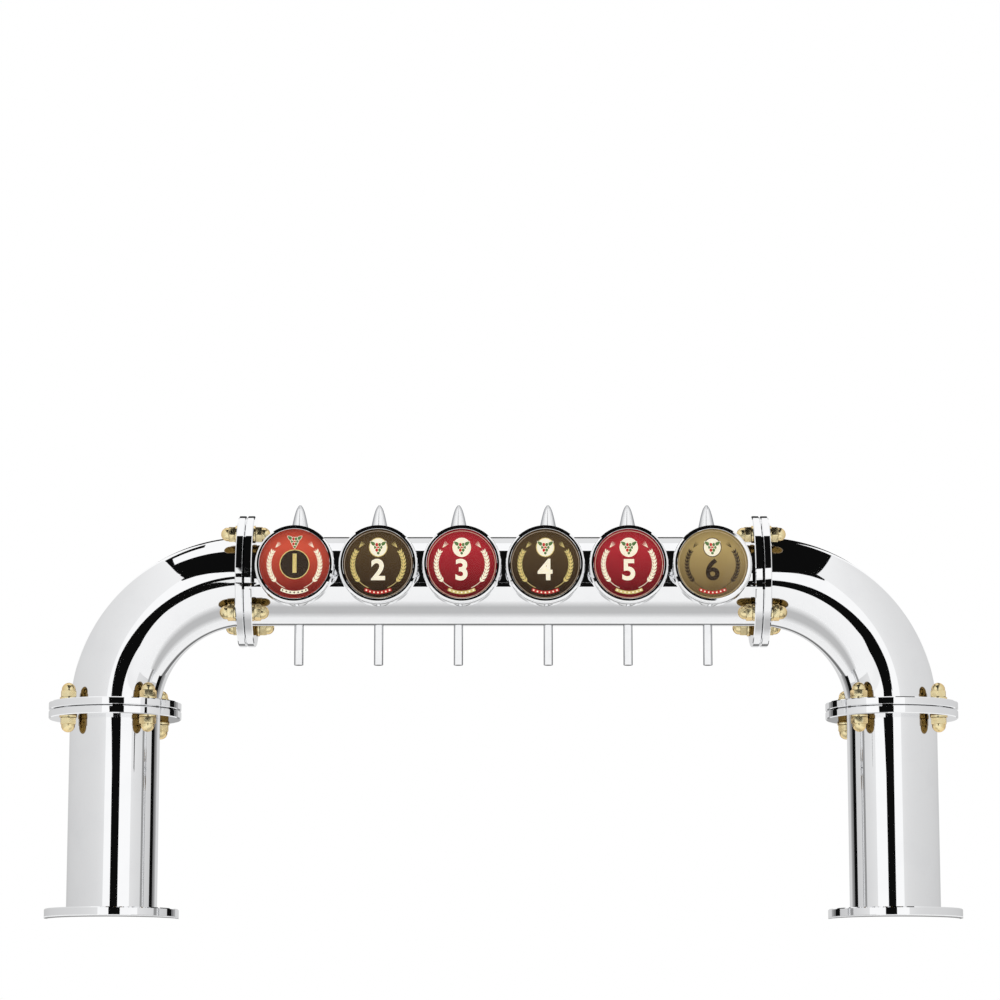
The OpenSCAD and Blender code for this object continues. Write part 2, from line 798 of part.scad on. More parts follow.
// Place 0 is the line to the tap nearest the leg, which lies furthest back.
module beer_line(side, place) {
    back = line_back - place * line_gap;
    i = side < 0 ? place : TAPS - 1 - place;
    turn_x = tap_x(i) + side * line_turn_r;
    spigot_end(side * leg_x, back, line_r);
    elbow_rod(side, line_r, 0, back);
    bridge_rod(side * bridge_x, turn_x, back, 0, line_r);
    translate([turn_x, back + line_turn_r, axis_z]) mirror([side > 0 ? 1 : 0, 0, 0]) rotate([0, 0, -90])
        rotate_extrude(angle = 90, $fn = SMALL) translate([line_turn_r, 0]) circle(r = line_r, $fn = SMALL);
    at_tap(i) rod_y(line_r, back + line_turn_r, union_front - union_h / 2);
}

module beer_lines(side) {
    color(STEEL) for (place = [0:TAPS / 2 - 1]) beer_line(side, place);
}

module coolant_line() {
    back = line_back - line_gap;
    color(STEEL) {
        for (side = SIDES) {
            spigot_end(side * (leg_x + cool_rise), back, cool_line_d / 2);
            elbow_rod(side, cool_line_d / 2, cool_rise, back);
        }
        bridge_rod(-bridge_x, bridge_x, back, cool_rise, cool_line_d / 2);
    }
}

module light_cable() {
    r = cable_d / 2;
    color("black") {
        translate([-leg_x - badge_rise, cable_back, 0]) {
            disc(r, line_end_h + connector_h, leg_h, SMALL);
            disc(connector_d / 2, line_end_h, line_end_h + connector_h, SMALL);
        }
        elbow_rod(-1, r, badge_rise, cable_back);
        bridge_rod(-bridge_x, badge_x(TAPS - 1) + r, cable_back, badge_rise, r);
        at_each_badge() disc(branch_d / 2, -cable_back, board_seat + board_t / 2, SMALL);
    }
}

module line_unions() {
    back = union_front - union_h;
    color(BRASS) at_each_tap() difference() {
        rotate([-90, 0, 0]) hex(union_af, back, union_front);
        rod_y(spigot_r + thread_gap, union_front - union_h / 2, union_front + CUT);
        rod_y(line_r + side_gap, back - CUT, union_front);
    }
}

base_plate(-1);  // left_base_plate
base_plate(1);  // right_base_plate
base_seals();
leg_tube(-1);  // left_leg_tube
leg_tube(1);  // right_leg_tube
at_leg_joint(-1) straight_flange();  // left_leg_flange
at_leg_joint(1) straight_flange();  // right_leg_flange
elbow_flanges();
at_bridge_joint(-1) straight_flange();  // left_bridge_flange
at_bridge_joint(1) straight_flange();  // right_bridge_flange
elbow(-1);  // left_elbow
elbow(1);  // right_elbow
bridge_tube();
joint_gaskets();
flange_studs();
dome_nuts();
flange_washers();
beer_lines(-1);  // left_beer_lines
beer_lines(1);  // right_beer_lines
coolant_line();
light_cable();
line_unions();
badge_housings();
badge_bezels();
badge_lenses();
badge_prints();
light_boards();
badge_stems();
badge_nuts();
tap_rosettes();
tap_shanks();
tap_shank_nuts();
tap_lock_rings();
tap_bodies();
tap_spouts();
tap_caps();
tap_valve(0);  // tap_valve_1
tap_valve(1);  // tap_valve_2
tap_valve(2);  // tap_valve_3
tap_valve(3);  // tap_valve_4
tap_valve(4);  // tap_valve_5
tap_valve(5);  // tap_valve_6
tap_lever(0);  // tap_lever_1
tap_lever(1);  // tap_lever_2
tap_lever(2);  // tap_lever_3
tap_lever(3);  // tap_lever_4
tap_lever(4);  // tap_lever_5
tap_lever(5);  // tap_lever_6
tap_handle(0);  // tap_handle_1
tap_handle(1);  // tap_handle_2
tap_handle(2);  // tap_handle_3
tap_handle(3);  // tap_handle_4
tap_handle(4);  // tap_handle_5
tap_handle(5);  // tap_handle_6
flow_lever(0);  // flow_lever_1
flow_lever(1);  // flow_lever_2
flow_lever(2);  // flow_lever_3
flow_lever(3);  // flow_lever_4
flow_lever(4);  // flow_lever_5
flow_lever(5);  // flow_lever_6
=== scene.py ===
"""Bridge beer tower in polished chrome, with six round badges in front and six taps behind.

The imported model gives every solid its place. This script dresses those solids, stands finer
pieces in for the ones that need more detail, and sets the studio and the camera.
"""

import logging
import math
from dataclasses import dataclass, field
from enum import Enum
from typing import List, Optional, Sequence, Tuple

import bmesh
import bpy
from mathutils import Matrix, Vector


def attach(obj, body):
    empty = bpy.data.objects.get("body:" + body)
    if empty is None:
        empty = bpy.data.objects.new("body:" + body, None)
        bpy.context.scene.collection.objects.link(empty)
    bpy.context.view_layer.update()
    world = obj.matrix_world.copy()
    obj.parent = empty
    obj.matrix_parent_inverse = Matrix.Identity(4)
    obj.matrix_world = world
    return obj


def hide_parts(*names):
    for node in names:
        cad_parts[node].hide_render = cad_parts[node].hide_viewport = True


LOG = logging.getLogger("beer_tower")
Tone = Tuple[float, float, float]
Point = Tuple[float, float, float]
Outline = Sequence[Tuple[float, float]]

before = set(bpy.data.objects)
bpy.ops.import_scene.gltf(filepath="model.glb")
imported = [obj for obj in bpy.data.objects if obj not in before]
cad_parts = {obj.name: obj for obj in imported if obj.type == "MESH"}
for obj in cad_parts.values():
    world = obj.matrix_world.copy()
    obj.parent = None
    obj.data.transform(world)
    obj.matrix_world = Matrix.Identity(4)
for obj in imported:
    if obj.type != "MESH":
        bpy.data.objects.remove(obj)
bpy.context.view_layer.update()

# Places that the sub-assemblies share, in metres and radians

MM = 0.001
# Distance of each leg's axis from the middle
LEG_X = 0.450
# Distance of each upper flange joint from the middle
BRIDGE_X = 0.298
# Height of the lower flange joints
LEG_JOINT_Z = 0.238
# Height of the bridge tube's axis
AXIS_Z = 0.390
# Turn of the studs' square about each joint's axis
STUD_TURN = math.radians(3.75)
# Distance of the taps' handles behind the bridge tube's axis
TAP_Y = 0.095
# Distance between neighbouring taps of one half
TAP_PITCH = 0.095
# Distance between the two taps in the middle
MIDDLE_GAP = 0.107
# X of each tap, from the left
TAP_PLACES = tuple(sign * (MIDDLE_GAP / 2 + step * TAP_PITCH)
                   for sign, step in ((-1, 2), (-1, 1), (-1, 0), (1, 0), (1, 1), (1, 2)))


class Slot(Enum):
    """Names of material slots, listed beside the badges' new pieces."""

    CHROME = "chrome"
    GILT = "gilt"
    PRINT = "print"


class Side(Enum):
    """The two ends of the bridge, with the sign of X on each."""

    LEFT = -1
    RIGHT = 1


# Shader node groups


def new_group(name: str, inputs: Sequence[Tuple[str, str, object]],
              outputs: Sequence[Tuple[str, str]]) -> bpy.types.NodeTree:
    """Makes an empty shader node group with named sockets.

    Args:
        name: The group's name.
        inputs: Each input's name, socket type and default.
        outputs: Each output's name and socket type.

    Returns:
        The group, with its input and output nodes in place.
    """
    group = bpy.data.node_groups.new(name, "ShaderNodeTree")
    for label, kind, default in inputs:
        socket = group.interface.new_socket(label, in_out="INPUT", socket_type=kind)
        if default is not None:
            socket.default_value = default
    for label, kind in outputs:
        group.interface.new_socket(label, in_out="OUTPUT", socket_type=kind)
    group.nodes.new("NodeGroupInput").name = "in"
    group.nodes.new("NodeGroupOutput").name = "out"
    return group


@dataclass
class Graph:
    """A thin writer of shader nodes in one node tree.

    Args:
        tree: The tree that the nodes go into.
    """

    tree: bpy.types.NodeTree

    def node(self, kind: str, **settings: object) -> bpy.types.Node:
        """Adds a node and sets its properties.

        Args:
            kind: The node's type name.
            **settings: Properties of the node.

        Returns:
            The new node.
        """
        made = self.tree.nodes.new(kind)
        for key, value in settings.items():
            setattr(made, key, value)
        return made

    def feed(self, target: bpy.types.NodeSocket, source: object) -> None:
        """Links a socket into the target, or sets a plain value on it.

        Args:
            target: The input that receives it.
            source: The socket or the value.
        """
        if isinstance(source, bpy.types.NodeSocket):
            self.tree.links.new(source, target)
        else:
            target.default_value = source

    def maths(self, operation: str, *values: object, clamp: bool = False) -> bpy.types.NodeSocket:
        """Adds a Math node.

        Args:
            operation: The operation's name.
            *values: Sockets or numbers for its inputs.
            clamp: Whether the result stays between 0 and 1.

        Returns:
            The node's output.
        """
        made = self.node("ShaderNodeMath", operation=operation, use_clamp=clamp)
        for socket, value in zip(made.inputs, values):
            self.feed(socket, value)
        return made.outputs[0]

    def noise(self, vector: object, scale: object, detail: float = 3.0,
              roughness: float = 0.5) -> bpy.types.NodeSocket:
        """Adds a Noise Texture.

        Args:
            vector: The pattern's coordinates.
            scale: Its scale per metre.
            detail: Its layers of finer noise.
            roughness: Share of the finer layers.

        Returns:
            Its factor.
        """
        made = self.node("ShaderNodeTexNoise")
        self.feed(made.inputs["Vector"], vector)
        self.feed(made.inputs["Scale"], scale)
        made.inputs["Detail"].default_value = detail
        made.inputs["Roughness"].default_value = roughness
        return made.outputs["Fac"]

    def span(self, value: object, low: object, high: object, to_low: object = 0.0,
             to_high: object = 1.0) -> bpy.types.NodeSocket:
        """Maps a value from one range to another, clamped.

        Args:
            value: The value.
            low: Where the first range begins.
            high: Where it ends.
            to_low: The result where it begins.
            to_high: The result where it ends.

        Returns:
            The result.
        """
        made = self.node("ShaderNodeMapRange")
        for socket, given in zip(made.inputs, (value, low, high, to_low, to_high)):
            self.feed(socket, given)
        return made.outputs[0]

    def mix(self, factor: object, first: object, second: object,
            blend: str = "MIX") -> bpy.types.NodeSocket:
        """Mixes two colours.

        Args:
            factor: Share of the second colour.
            first: The first colour.
            second: The second colour.
            blend: The way that they mix.

        Returns:
            The mixed colour.
        """
        made = self.node("ShaderNodeMix", data_type="RGBA", blend_type=blend)
        self.feed(made.inputs["Factor"], factor)
        self.feed(made.inputs[6], first)
        self.feed(made.inputs[7], second)
        return made.outputs[2]

    def blend(self, factor: object, first: object, second: object) -> bpy.types.NodeSocket:
        """Mixes two shaders.

        Args:
            factor: Share of the second shader.
            first: The first shader.
            second: The second shader.

        Returns:
            The mixed shader.
        """
        made = self.node("ShaderNodeMixShader")
        for socket, source in zip(made.inputs, (factor, first, second)):
            self.feed(socket, source)
        return made.outputs[0]

    def place(self, vector: object, location: Sequence[float] = (0, 0, 0),
              rotation: Sequence[float] = (0, 0, 0), scale: Sequence[float] = (1, 1, 1)
              ) -> bpy.types.NodeSocket:
        """Moves, turns and scales a pattern with a Mapping node.

        Args:
            vector: The pattern's coordinates.
            location: What is added to them.
            rotation: Its turn in radians.
            scale: Its scale on each axis.

        Returns:
            The new coordinates.
        """
        made = self.node("ShaderNodeMapping")
        self.feed(made.inputs["Vector"], vector)
        made.inputs["Location"].default_value = location
        made.inputs["Rotation"].default_value = rotation
        made.inputs["Scale"].default_value = scale
        return made.outputs[0]

    def bump(self, height: object, distance: float, strength: float) -> bpy.types.NodeSocket:
        """Adds a Bump node.

        Args:
            height: The height socket.
            distance: Height in metres of a full step.
            strength: The node's strength.

        Returns:
            Its normal.
        """
        made = self.node("ShaderNodeBump")
        made.inputs["Distance"].default_value = distance
        made.inputs["Strength"].default_value = strength
        self.feed(made.inputs["Height"], height)
        return made.outputs[0]

    def own_place(self) -> bpy.types.NodeSocket:
        """Returns the coordinates of the piece that is shaded."""
        return self.node("ShaderNodeTexCoord").outputs["Object"]

    def glow(self, level: object) -> bpy.types.NodeSocket:
        """Adds a shader of plain white light.

        Args:
            level: Its strength, as a number or a socket.

        Returns:
            The shader.
        """
        made = self.node("ShaderNodeEmission")
        self.feed(made.inputs["Strength"], level)
        return made.outputs[0]

    def clear_where(self, factor: object, surface: object) -> bpy.types.NodeSocket:
        """Makes a shader clear where a factor is 1."""
        return self.blend(factor, surface, self.node("ShaderNodeBsdfTransparent").outputs[0])

    def clear_behind(self, surface: object) -> bpy.types.NodeSocket:
        """Makes a shader clear on the back of its faces."""
        back = self.node("ShaderNodeNewGeometry").outputs["Backfacing"]
        return self.clear_where(back, surface)

    def surface(self, shader: object) -> None:
        """Makes a shader the material's surface."""
        self.feed(self.node("ShaderNodeOutputMaterial").inputs["Surface"], shader)


def polish_group() -> bpy.types.NodeTree:
    """Builds the group of marks that a polished or machined metal carries.

    Returns:
        A group with a colour, a roughness and a height that vary over the surface.
    """
    known = bpy.data.node_groups.get("polish_marks")
    if known:
        return known
    group = new_group(
        "polish_marks",
        [("Vector", "NodeSocketVector", None), ("Clean", "NodeSocketColor", (1, 1, 1, 1)),
         ("Dulled", "NodeSocketColor", (0.8, 0.8, 0.8, 1)), ("Smooth", "NodeSocketFloat", 0.03),
         ("Rough", "NodeSocketFloat", 0.1), ("Smudge Scale", "NodeSocketFloat", 30.0),
         ("Grain Scale", "NodeSocketFloat", 900.0), ("Grain", "NodeSocketFloat", 0.2),
         ("Ripple Scale", "NodeSocketFloat", 25.0)],
        [("Color", "NodeSocketColor"), ("Roughness", "NodeSocketFloat"),
         ("Height", "NodeSocketFloat")])
    g = Graph(group)
    given, out = group.nodes["in"].outputs, group.nodes["out"].inputs
    smudge = g.span(g.noise(given["Vector"], given["Smudge Scale"], 4.0, 0.6), 0.48, 0.72)
    wipe_way = g.place(given["Vector"], rotation=(0.5, 0.3, 0.9), scale=(1, 1, 0.06))
    wipe = g.span(g.noise(wipe_way, given["Grain Scale"], 2.0), 0.35, 0.75)
    grain = g.maths("MULTIPLY", wipe, given["Grain"])
    dull = g.maths("ADD", g.maths("MULTIPLY", smudge, 0.7), grain, clamp=True)
    g.feed(out["Color"], g.mix(dull, given["Clean"], given["Dulled"]))
    g.feed(out["Roughness"], g.span(dull, 0.0, 1.0, given["Smooth"], given["Rough"]))
    ripple = g.noise(given["Vector"], given["Ripple Scale"], 1.0, 0.3)
    g.feed(out["Height"], g.maths("ADD", ripple, g.maths("MULTIPLY", grain, 0.02)))
    return group


def paper_group() -> bpy.types.NodeTree:
    """Builds the group of a round printed face, read from its own centre.

    Returns:
        A group with the colour, roughness and height of the printed sheet.
    """
    known = bpy.data.node_groups.get("printed_face")
    if known:
        return known
    group = new_group(
        "printed_face",
        [("Vector", "NodeSocketVector", None), ("Upper", "NodeSocketColor", (0.5, 0.1, 0.1, 1)),
         ("Lower", "NodeSocketColor", (0.2, 0.0, 0.0, 1)), ("Ring", "NodeSocketColor", (1, 1, 1, 1)),
         ("Rim", "NodeSocketColor", (0.1, 0.1, 0.1, 1)), ("Ring Radius", "NodeSocketFloat", 0.0383),
         ("Ring Width", "NodeSocketFloat", 0.0005), ("Edge", "NodeSocketFloat", 0.0404)],
        [("Color", "NodeSocketColor"), ("Roughness", "NodeSocketFloat"),
         ("Height", "NodeSocketFloat")])
    g = Graph(group)
    given, out = group.nodes["in"].outputs, group.nodes["out"].inputs
    split = g.node("ShaderNodeSeparateXYZ")
    g.feed(split.inputs[0], given["Vector"])
    across, up = split.outputs["X"], split.outputs["Z"]
    radius = g.maths("SQRT", g.maths("ADD", g.maths("MULTIPLY", across, across),
                                     g.maths("MULTIPLY", up, up)))
    cloud = g.noise(given["Vector"], 45.0, 4.0, 0.6)
    fall = g.span(g.maths("ADD", up, g.maths("MULTIPLY", cloud, 0.012)), 0.026, -0.024)
    ground = g.mix(fall, given["Upper"], given["Lower"])
    fibre = g.noise(given["Vector"], 2600.0, 2.0, 0.7)
    ground = g.mix(g.span(fibre, 0.3, 0.7, 0.0, 0.10), ground, (0.9, 0.8, 0.7, 1.0), "SOFT_LIGHT")
    shade = g.span(radius, 0.025, 0.042, 0.0, 0.45)
    ground = g.mix(shade, ground, given["Lower"])
    off_ring = g.maths("ABSOLUTE", g.maths("SUBTRACT", radius, given["Ring Radius"]))
    ring = g.span(off_ring, given["Ring Width"], g.maths("MULTIPLY", given["Ring Width"], 0.45))
    ground = g.mix(ring, ground, given["Ring"])
    edge = g.span(radius, given["Edge"], g.maths("ADD", given["Edge"], 0.0003))
    g.feed(out["Color"], g.mix(edge, ground, given["Rim"]))
    g.feed(out["Roughness"], g.span(fibre, 0.3, 0.7, 0.5, 0.6))
    g.feed(out["Height"], fibre)
    return group


# Finishes


def bare_material(name: str) -> Tuple[bpy.types.Material, Graph]:
    """Makes a node material that has no nodes yet.

    Args:
        name: The material's name.

    Returns:
        The material and its graph.
    """
    made = bpy.data.materials.new(name)
    made.use_nodes = True
    made.node_tree.nodes.clear()
    return made, Graph(made.node_tree)


@dataclass(frozen=True)
class Finish:
    """A finish whose material is made once.

    Args:
        name: The material's name.
    """

    name: str

    def paint(self, g: Graph, shader: bpy.types.Node) -> None:
        """Wires the finish into a Principled shader.

        Args:
            g: The material's graph.
            shader: Its Principled node.
        """
        raise NotImplementedError

    def material(self) -> bpy.types.Material:
        """Gives the finish's material and makes it at its first use.

        Returns:
            The material.
        """
        made = bpy.data.materials.get(self.name)
        if not made:
            made, g = bare_material(self.name)
            shader = g.node("ShaderNodeBsdfPrincipled")
            g.surface(shader.outputs[0])
            self.paint(g, shader)
        return made


@dataclass(frozen=True)
class Metal(Finish):
    """A polished or machined metal.

    Args:
        clean: Colour where it is clean.
        dulled: Colour under smudges.
        smooth: Roughness where it is clean.
        rough: Roughness under smudges.
        smudge_scale: Smudges per metre.
        grain_scale: Fine marks per metre.
        grain: Share of the fine marks.
        ripple_scale: Waves of the polish per metre.
        ripple: Height of these waves in metres.
        rim: Painted shade, a darker colour that it turns to where it is seen at a grazing angle.
        rim_span: Where this painted shade begins and ends: 0 is face on, 1 is edge on.
        mirrored: Painted shade, a darker colour that it shows only in reflections on other metal, as
            if of its shaded side.
    """

    clean: Tone
    dulled: Tone
    smooth: float
    rough: float
    smudge_scale: float = 22.0
    grain_scale: float = 700.0
    grain: float = 0.15
    ripple_scale: float = 14.0
    ripple: float = 0.0
    rim: Optional[Tone] = None
    rim_span: Tuple[float, float] = (0.0, 1.0)
    mirrored: Optional[Tone] = None

    def paint(self, g: Graph, shader: bpy.types.Node) -> None:
        """Wires the metal's colour with its painted shade, its roughness and its waves.

        Args:
            g: The material's graph.
            shader: Its Principled node.
        """
        marks = g.node("ShaderNodeGroup", node_tree=polish_group())
        values = {"Vector": g.own_place(), "Clean": (*self.clean, 1),
                  "Dulled": (*self.dulled, 1), "Smooth": self.smooth, "Rough": self.rough,
                  "Smudge Scale": self.smudge_scale, "Grain Scale": self.grain_scale,
                  "Grain": self.grain, "Ripple Scale": self.ripple_scale}
        for label, value in values.items():
            g.feed(marks.inputs[label], value)
        colour = marks.outputs["Color"]
        # Painted shade: the colour darkens towards grazing angles, for the dark edges that the metal
        # mirrors.
        if self.rim:
            weight = g.node("ShaderNodeLayerWeight")
            weight.inputs["Blend"].default_value = 0.5
            grazing = g.span(weight.outputs["Facing"], *self.rim_span)
            colour = g.mix(grazing, colour, (*self.rim, 1))
        # Painted shade: in reflections on other metal, the colour turns to the darker mirrored one.
        if self.mirrored:
            path = g.node("ShaderNodeLightPath")
            colour = g.mix(path.outputs["Is Glossy Ray"], colour, (*self.mirrored, 1))
        g.feed(shader.inputs["Base Color"], colour)
        g.feed(shader.inputs["Roughness"], marks.outputs["Roughness"])
        shader.inputs["Metallic"].default_value = 1.0
        if self.ripple:
            g.feed(shader.inputs["Normal"], g.bump(marks.outputs["Height"], self.ripple, 1.0))


@dataclass(frozen=True)
class Rubber(Finish):
    """Matt moulded rubber.

    Args:
        deep: Colour where it is clean.
        worn: Colour under dust.
    """

    deep: Tone
    worn: Tone

    def paint(self, g: Graph, shader: bpy.types.Node) -> None:
        """Wires the rubber's dust and its pored skin.

        Args:
            g: The material's graph.
            shader: Its Principled node.
        """
        coords = g.own_place()
        skin = g.noise(coords, 1400.0, 3.0, 0.6)
        dust = g.span(g.noise(coords, 60.0, 4.0, 0.6), 0.45, 0.75)
        g.feed(shader.inputs["Base Color"], g.mix(dust, (*self.deep, 1), (*self.worn, 1)))
        g.feed(shader.inputs["Roughness"], g.span(skin, 0.3, 0.7, 0.55, 0.75))
        g.feed(shader.inputs["Normal"], g.bump(skin, 0.0002, 0.5))


@dataclass(frozen=True)
class ClearLens(Finish):
    """The clear lens in front of a print."""

    def paint(self, g: Graph, shader: bpy.types.Node) -> None:
        """Wires the clear lens and the dust on it.

        Args:
            g: The material's graph.
            shader: Its Principled node.
        """
        dust = g.span(g.noise(g.own_place(), 90.0, 5.0, 0.65), 0.55, 0.8)
        shader.inputs["Base Color"].default_value = (1, 1, 1, 1)
        shader.inputs["Transmission Weight"].default_value = 1.0
        shader.inputs["IOR"].default_value = 1.2
        g.feed(shader.inputs["Roughness"], g.span(dust, 0.0, 1.0, 0.0, 0.05))


@dataclass(frozen=True)
class LampBoard(Finish):
    """The lamp board behind a print, in white lacquer with green tracks."""

    def paint(self, g: Graph, shader: bpy.types.Node) -> None:
        """Wires the board's tracks and its lacquer.

        Args:
            g: The material's graph.
            shader: Its Principled node.
        """
        coords = g.own_place()
        lacquer = g.noise(coords, 500.0, 2.0)
        tracks = g.node("ShaderNodeTexWave", wave_type="RINGS", rings_direction="Y")
        g.feed(tracks.inputs["Vector"], coords)
        tracks.inputs["Scale"].default_value = 110.0
        line = g.span(tracks.outputs["Fac"], 0.8, 0.9)
        base = g.mix(line, (0.80, 0.81, 0.78, 1), (0.42, 0.50, 0.40, 1))
        g.feed(shader.inputs["Base Color"], g.mix(g.span(lacquer, 0.4, 0.6, 0, 0.1), base,
                                                  (0.5, 0.5, 0.45, 1)))
        g.feed(shader.inputs["Roughness"], g.span(lacquer, 0.3, 0.7, 0.3, 0.45))


# Level of the light that a badge's print gives off, from the lamps behind it
PRINT_GLOW = 0.40
# Level of a print's gloss
PRINT_GLOSS = 0.05


def light_print(g: Graph, shader: bpy.types.Node, colour: bpy.types.NodeSocket) -> None:
    """Gives a print its colour and lights it from behind.

    Args:
        g: The material's graph.
        shader: Its Principled node.
        colour: The print's colour.
    """
    g.feed(shader.inputs["Base Color"], colour)
    g.feed(shader.inputs["Emission Color"], colour)
    shader.inputs["Emission Strength"].default_value = PRINT_GLOW
    shader.inputs["Specular IOR Level"].default_value = PRINT_GLOSS


@dataclass(frozen=True)
class Ink(Finish):
    """A colour printed on the badges.

    Args:
        tone: The ink's colour.
        thin: The ink's colour where less of it lies.
    """

    tone: Tone
    thin: Tone

    def paint(self, g: Graph, shader: bpy.types.Node) -> None:
        """Wires the ink's uneven cover.

        Args:
            g: The material's graph.
            shader: Its Principled node.
        """
        cover = g.span(g.noise(g.own_place(), 900.0, 3.0, 0.7), 0.35, 0.65)
        light_print(g, shader, g.mix(cover, (*self.thin, 1), (*self.tone, 1)))
        g.feed(shader.inputs["Roughness"], g.span(cover, 0.0, 1.0, 0.55, 0.45))


@dataclass(frozen=True)
class PrintFace(Finish):
    """The ground of one badge's print.

    Args:
        centre: The badge's centre in metres.
        upper: Colour at the top.
        lower: Colour at the bottom and round the edge.
        ring: Colour of the thin ring.
    """

    centre: Vector
    upper: Tone
    lower: Tone
    ring: Tone

    def paint(self, g: Graph, shader: bpy.types.Node) -> None:
        """Wires the printed sheet, centred on its badge.

        Args:
            g: The material's graph.
            shader: Its Principled node.
        """
        face = g.node("ShaderNodeGroup", node_tree=paper_group())
        centred = g.place(g.own_place(), location=tuple(-self.centre))
        values = {"Vector": centred, "Upper": (*self.upper, 1), "Lower": (*self.lower, 1),
                  "Ring": (*self.ring, 1), "Rim": (*(v * 0.5 for v in self.lower), 1)}
        for label, value in values.items():
            g.feed(face.inputs[label], value)
        light_print(g, shader, face.outputs["Color"])
        g.feed(shader.inputs["Roughness"], face.outputs["Roughness"])
        g.feed(shader.inputs["Normal"], g.bump(face.outputs["Height"], 0.00003, 0.3))


CHROME = Metal("mirror_chrome", (0.95, 0.955, 0.965), (0.91, 0.915, 0.93), 0.02, 0.05,
               ripple=0.00001)
# The taps' chrome and the gilt take a painted shade at grazing edges.
TAP_CHROME = Metal("tap_chrome", (0.94, 0.945, 0.955), (0.88, 0.885, 0.90), 0.06, 0.12,
                   smudge_scale=60.0, rim=(0.15, 0.16, 0.18), rim_span=(0.22, 0.70))
# The gilt also shows a painted dark shade in its reflections on other metal.
GILT = Metal("polished_gilt", (1.0, 0.89, 0.55), (1.0, 0.81, 0.42), 0.24, 0.30,
             smudge_scale=120.0, grain_scale=1600.0, grain=0.25, rim=(0.78, 0.48, 0.14),
             mirrored=(0.20, 0.12, 0.03))
STEEL = Metal("plain_steel", (0.66, 0.67, 0.68), (0.50, 0.51, 0.53), 0.22, 0.38,
              smudge_scale=50.0, grain_scale=2500.0, grain=0.5, ripple_scale=80.0, ripple=0.00001)
BRASS = Metal("machined_brass", (0.80, 0.60, 0.30), (0.62, 0.43, 0.19), 0.16, 0.32,
              smudge_scale=80.0, grain_scale=2000.0, grain=0.5, ripple_scale=90.0, ripple=0.00001)
RUBBER = Rubber("black_rubber", (0.018, 0.018, 0.019), (0.045, 0.044, 0.042))
LENS = ClearLens("clear_lens")
BOARD = LampBoard("lamp_board")


# Mesh helpers


def add_piece(name: str, bm: bmesh.types.BMesh, finishes: Sequence[bpy.types.Material],
              sharp: float = 35.0) -> bpy.types.Object:
    """Turns a bmesh into an object of the scene.

    Args:
        name: The piece's name.
        bm: Its mesh, which is freed.
        finishes: Its materials, in the order of the faces' indices.
        sharp: Angle in degrees over which an edge is sharp.

    Returns:
        The object, at the origin.
    """
    mesh = bpy.data.meshes.new(name)
    bm.to_mesh(mesh)
    bm.free()
    mesh.shade_smooth()
    mesh.set_sharp_from_angle(angle=math.radians(sharp))
    for finish in finishes:
        mesh.materials.append(finish)
    piece = bpy.data.objects.new(name, mesh)
    bpy.context.scene.collection.objects.link(piece)
    return piece


# Points of a turned outline that lie closer than this are one point
TOUCH = 1e-7


def lathe(bm: bmesh.types.BMesh, outline: Outline, steps: int,
          place: Matrix = Matrix.Identity(4)) -> None:
    """Turns an outline about Z into a closed solid and adds it to a mesh.

    Args:
        bm: The mesh that it is added to.
        outline: Radius and height pairs in metres, in order along the outline.
        steps: Segments round the axis.
        place: Where the turned solid goes.
    """
    part = bmesh.new()
    points = [part.verts.new((r, 0, h)) for r, h in outline]
    edges = [part.edges.new(pair) for pair in zip(points, points[1:])]
    if outline[0][0] > TOUCH or outline[-1][0] > TOUCH:
        edges.append(part.edges.new((points[-1], points[0])))
    bmesh.ops.spin(part, geom=points + edges, cent=(0, 0, 0), axis=(0, 0, 1),
                   angle=2 * math.pi, steps=steps, use_merge=True)
    bmesh.ops.remove_doubles(part, verts=part.verts, dist=TOUCH)
    bmesh.ops.recalc_face_normals(part, faces=part.faces)
    bmesh.ops.transform(part, matrix=place, verts=part.verts)
    merge_into(bm, part)


def eased(points: Outline, steps: int) -> List[Tuple[float, float]]:
    """Runs a smooth curve through an outline's points.

    Args:
        points: The outline's points.
        steps: Pieces between one point and the next.

    Returns:
        The points of the curve.
    """
    ends = [points[0], *points, points[-1]]
    curve: List[Tuple[float, float]] = []
    for before, start, stop, after in zip(ends, ends[1:], ends[2:], ends[3:]):
        for step in range(steps):
            s = step / steps
            curve.append(tuple(
                0.5 * (2 * b + (c - a) * s + (2 * a - 5 * b + 4 * c - d) * s ** 2
                       + (3 * b - a - 3 * c + d) * s ** 3)
                for a, b, c, d in zip(before, start, stop, after)))
    return curve + [points[-1]]


def merge_into(bm: bmesh.types.BMesh, part: bmesh.types.BMesh) -> None:
    """Copies one bmesh into another and frees it.

    Args:
        bm: The mesh that receives the copy.
        part: The mesh that is copied.
    """
    carrier = bpy.data.meshes.new("carrier")
    part.to_mesh(carrier)
    part.free()
    bm.from_mesh(carrier)
    bpy.data.meshes.remove(carrier)


def finished_mesh(piece: bpy.types.Object) -> bmesh.types.BMesh:
    """Turns a piece and its modifiers into a plain mesh.

    Args:
        piece: The piece, which is removed.

    Returns:
        The mesh with its modifiers applied.
    """
    done = piece.evaluated_get(bpy.context.evaluated_depsgraph_get())
    bm = bmesh.new()
    bm.from_mesh(done.to_mesh())
    done.to_mesh_clear()
    bpy.data.objects.remove(piece)
    return bm


def dress(nodes: Sequence[str], finish: Finish) -> None:
    """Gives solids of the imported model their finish.

    Args:
        nodes: The solids' names.
        finish: Their finish.
    """
    for node in nodes:
        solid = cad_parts[node]
        solid.data.materials.clear()
        solid.data.materials.append(finish.material())


def on_circle(radius: float, angle: float) -> Tuple[float, float]:
    """Returns the point at a radius and an angle in degrees."""
    turn = math.radians(angle)
    return radius * math.cos(turn), radius * math.sin(turn)


# The tower


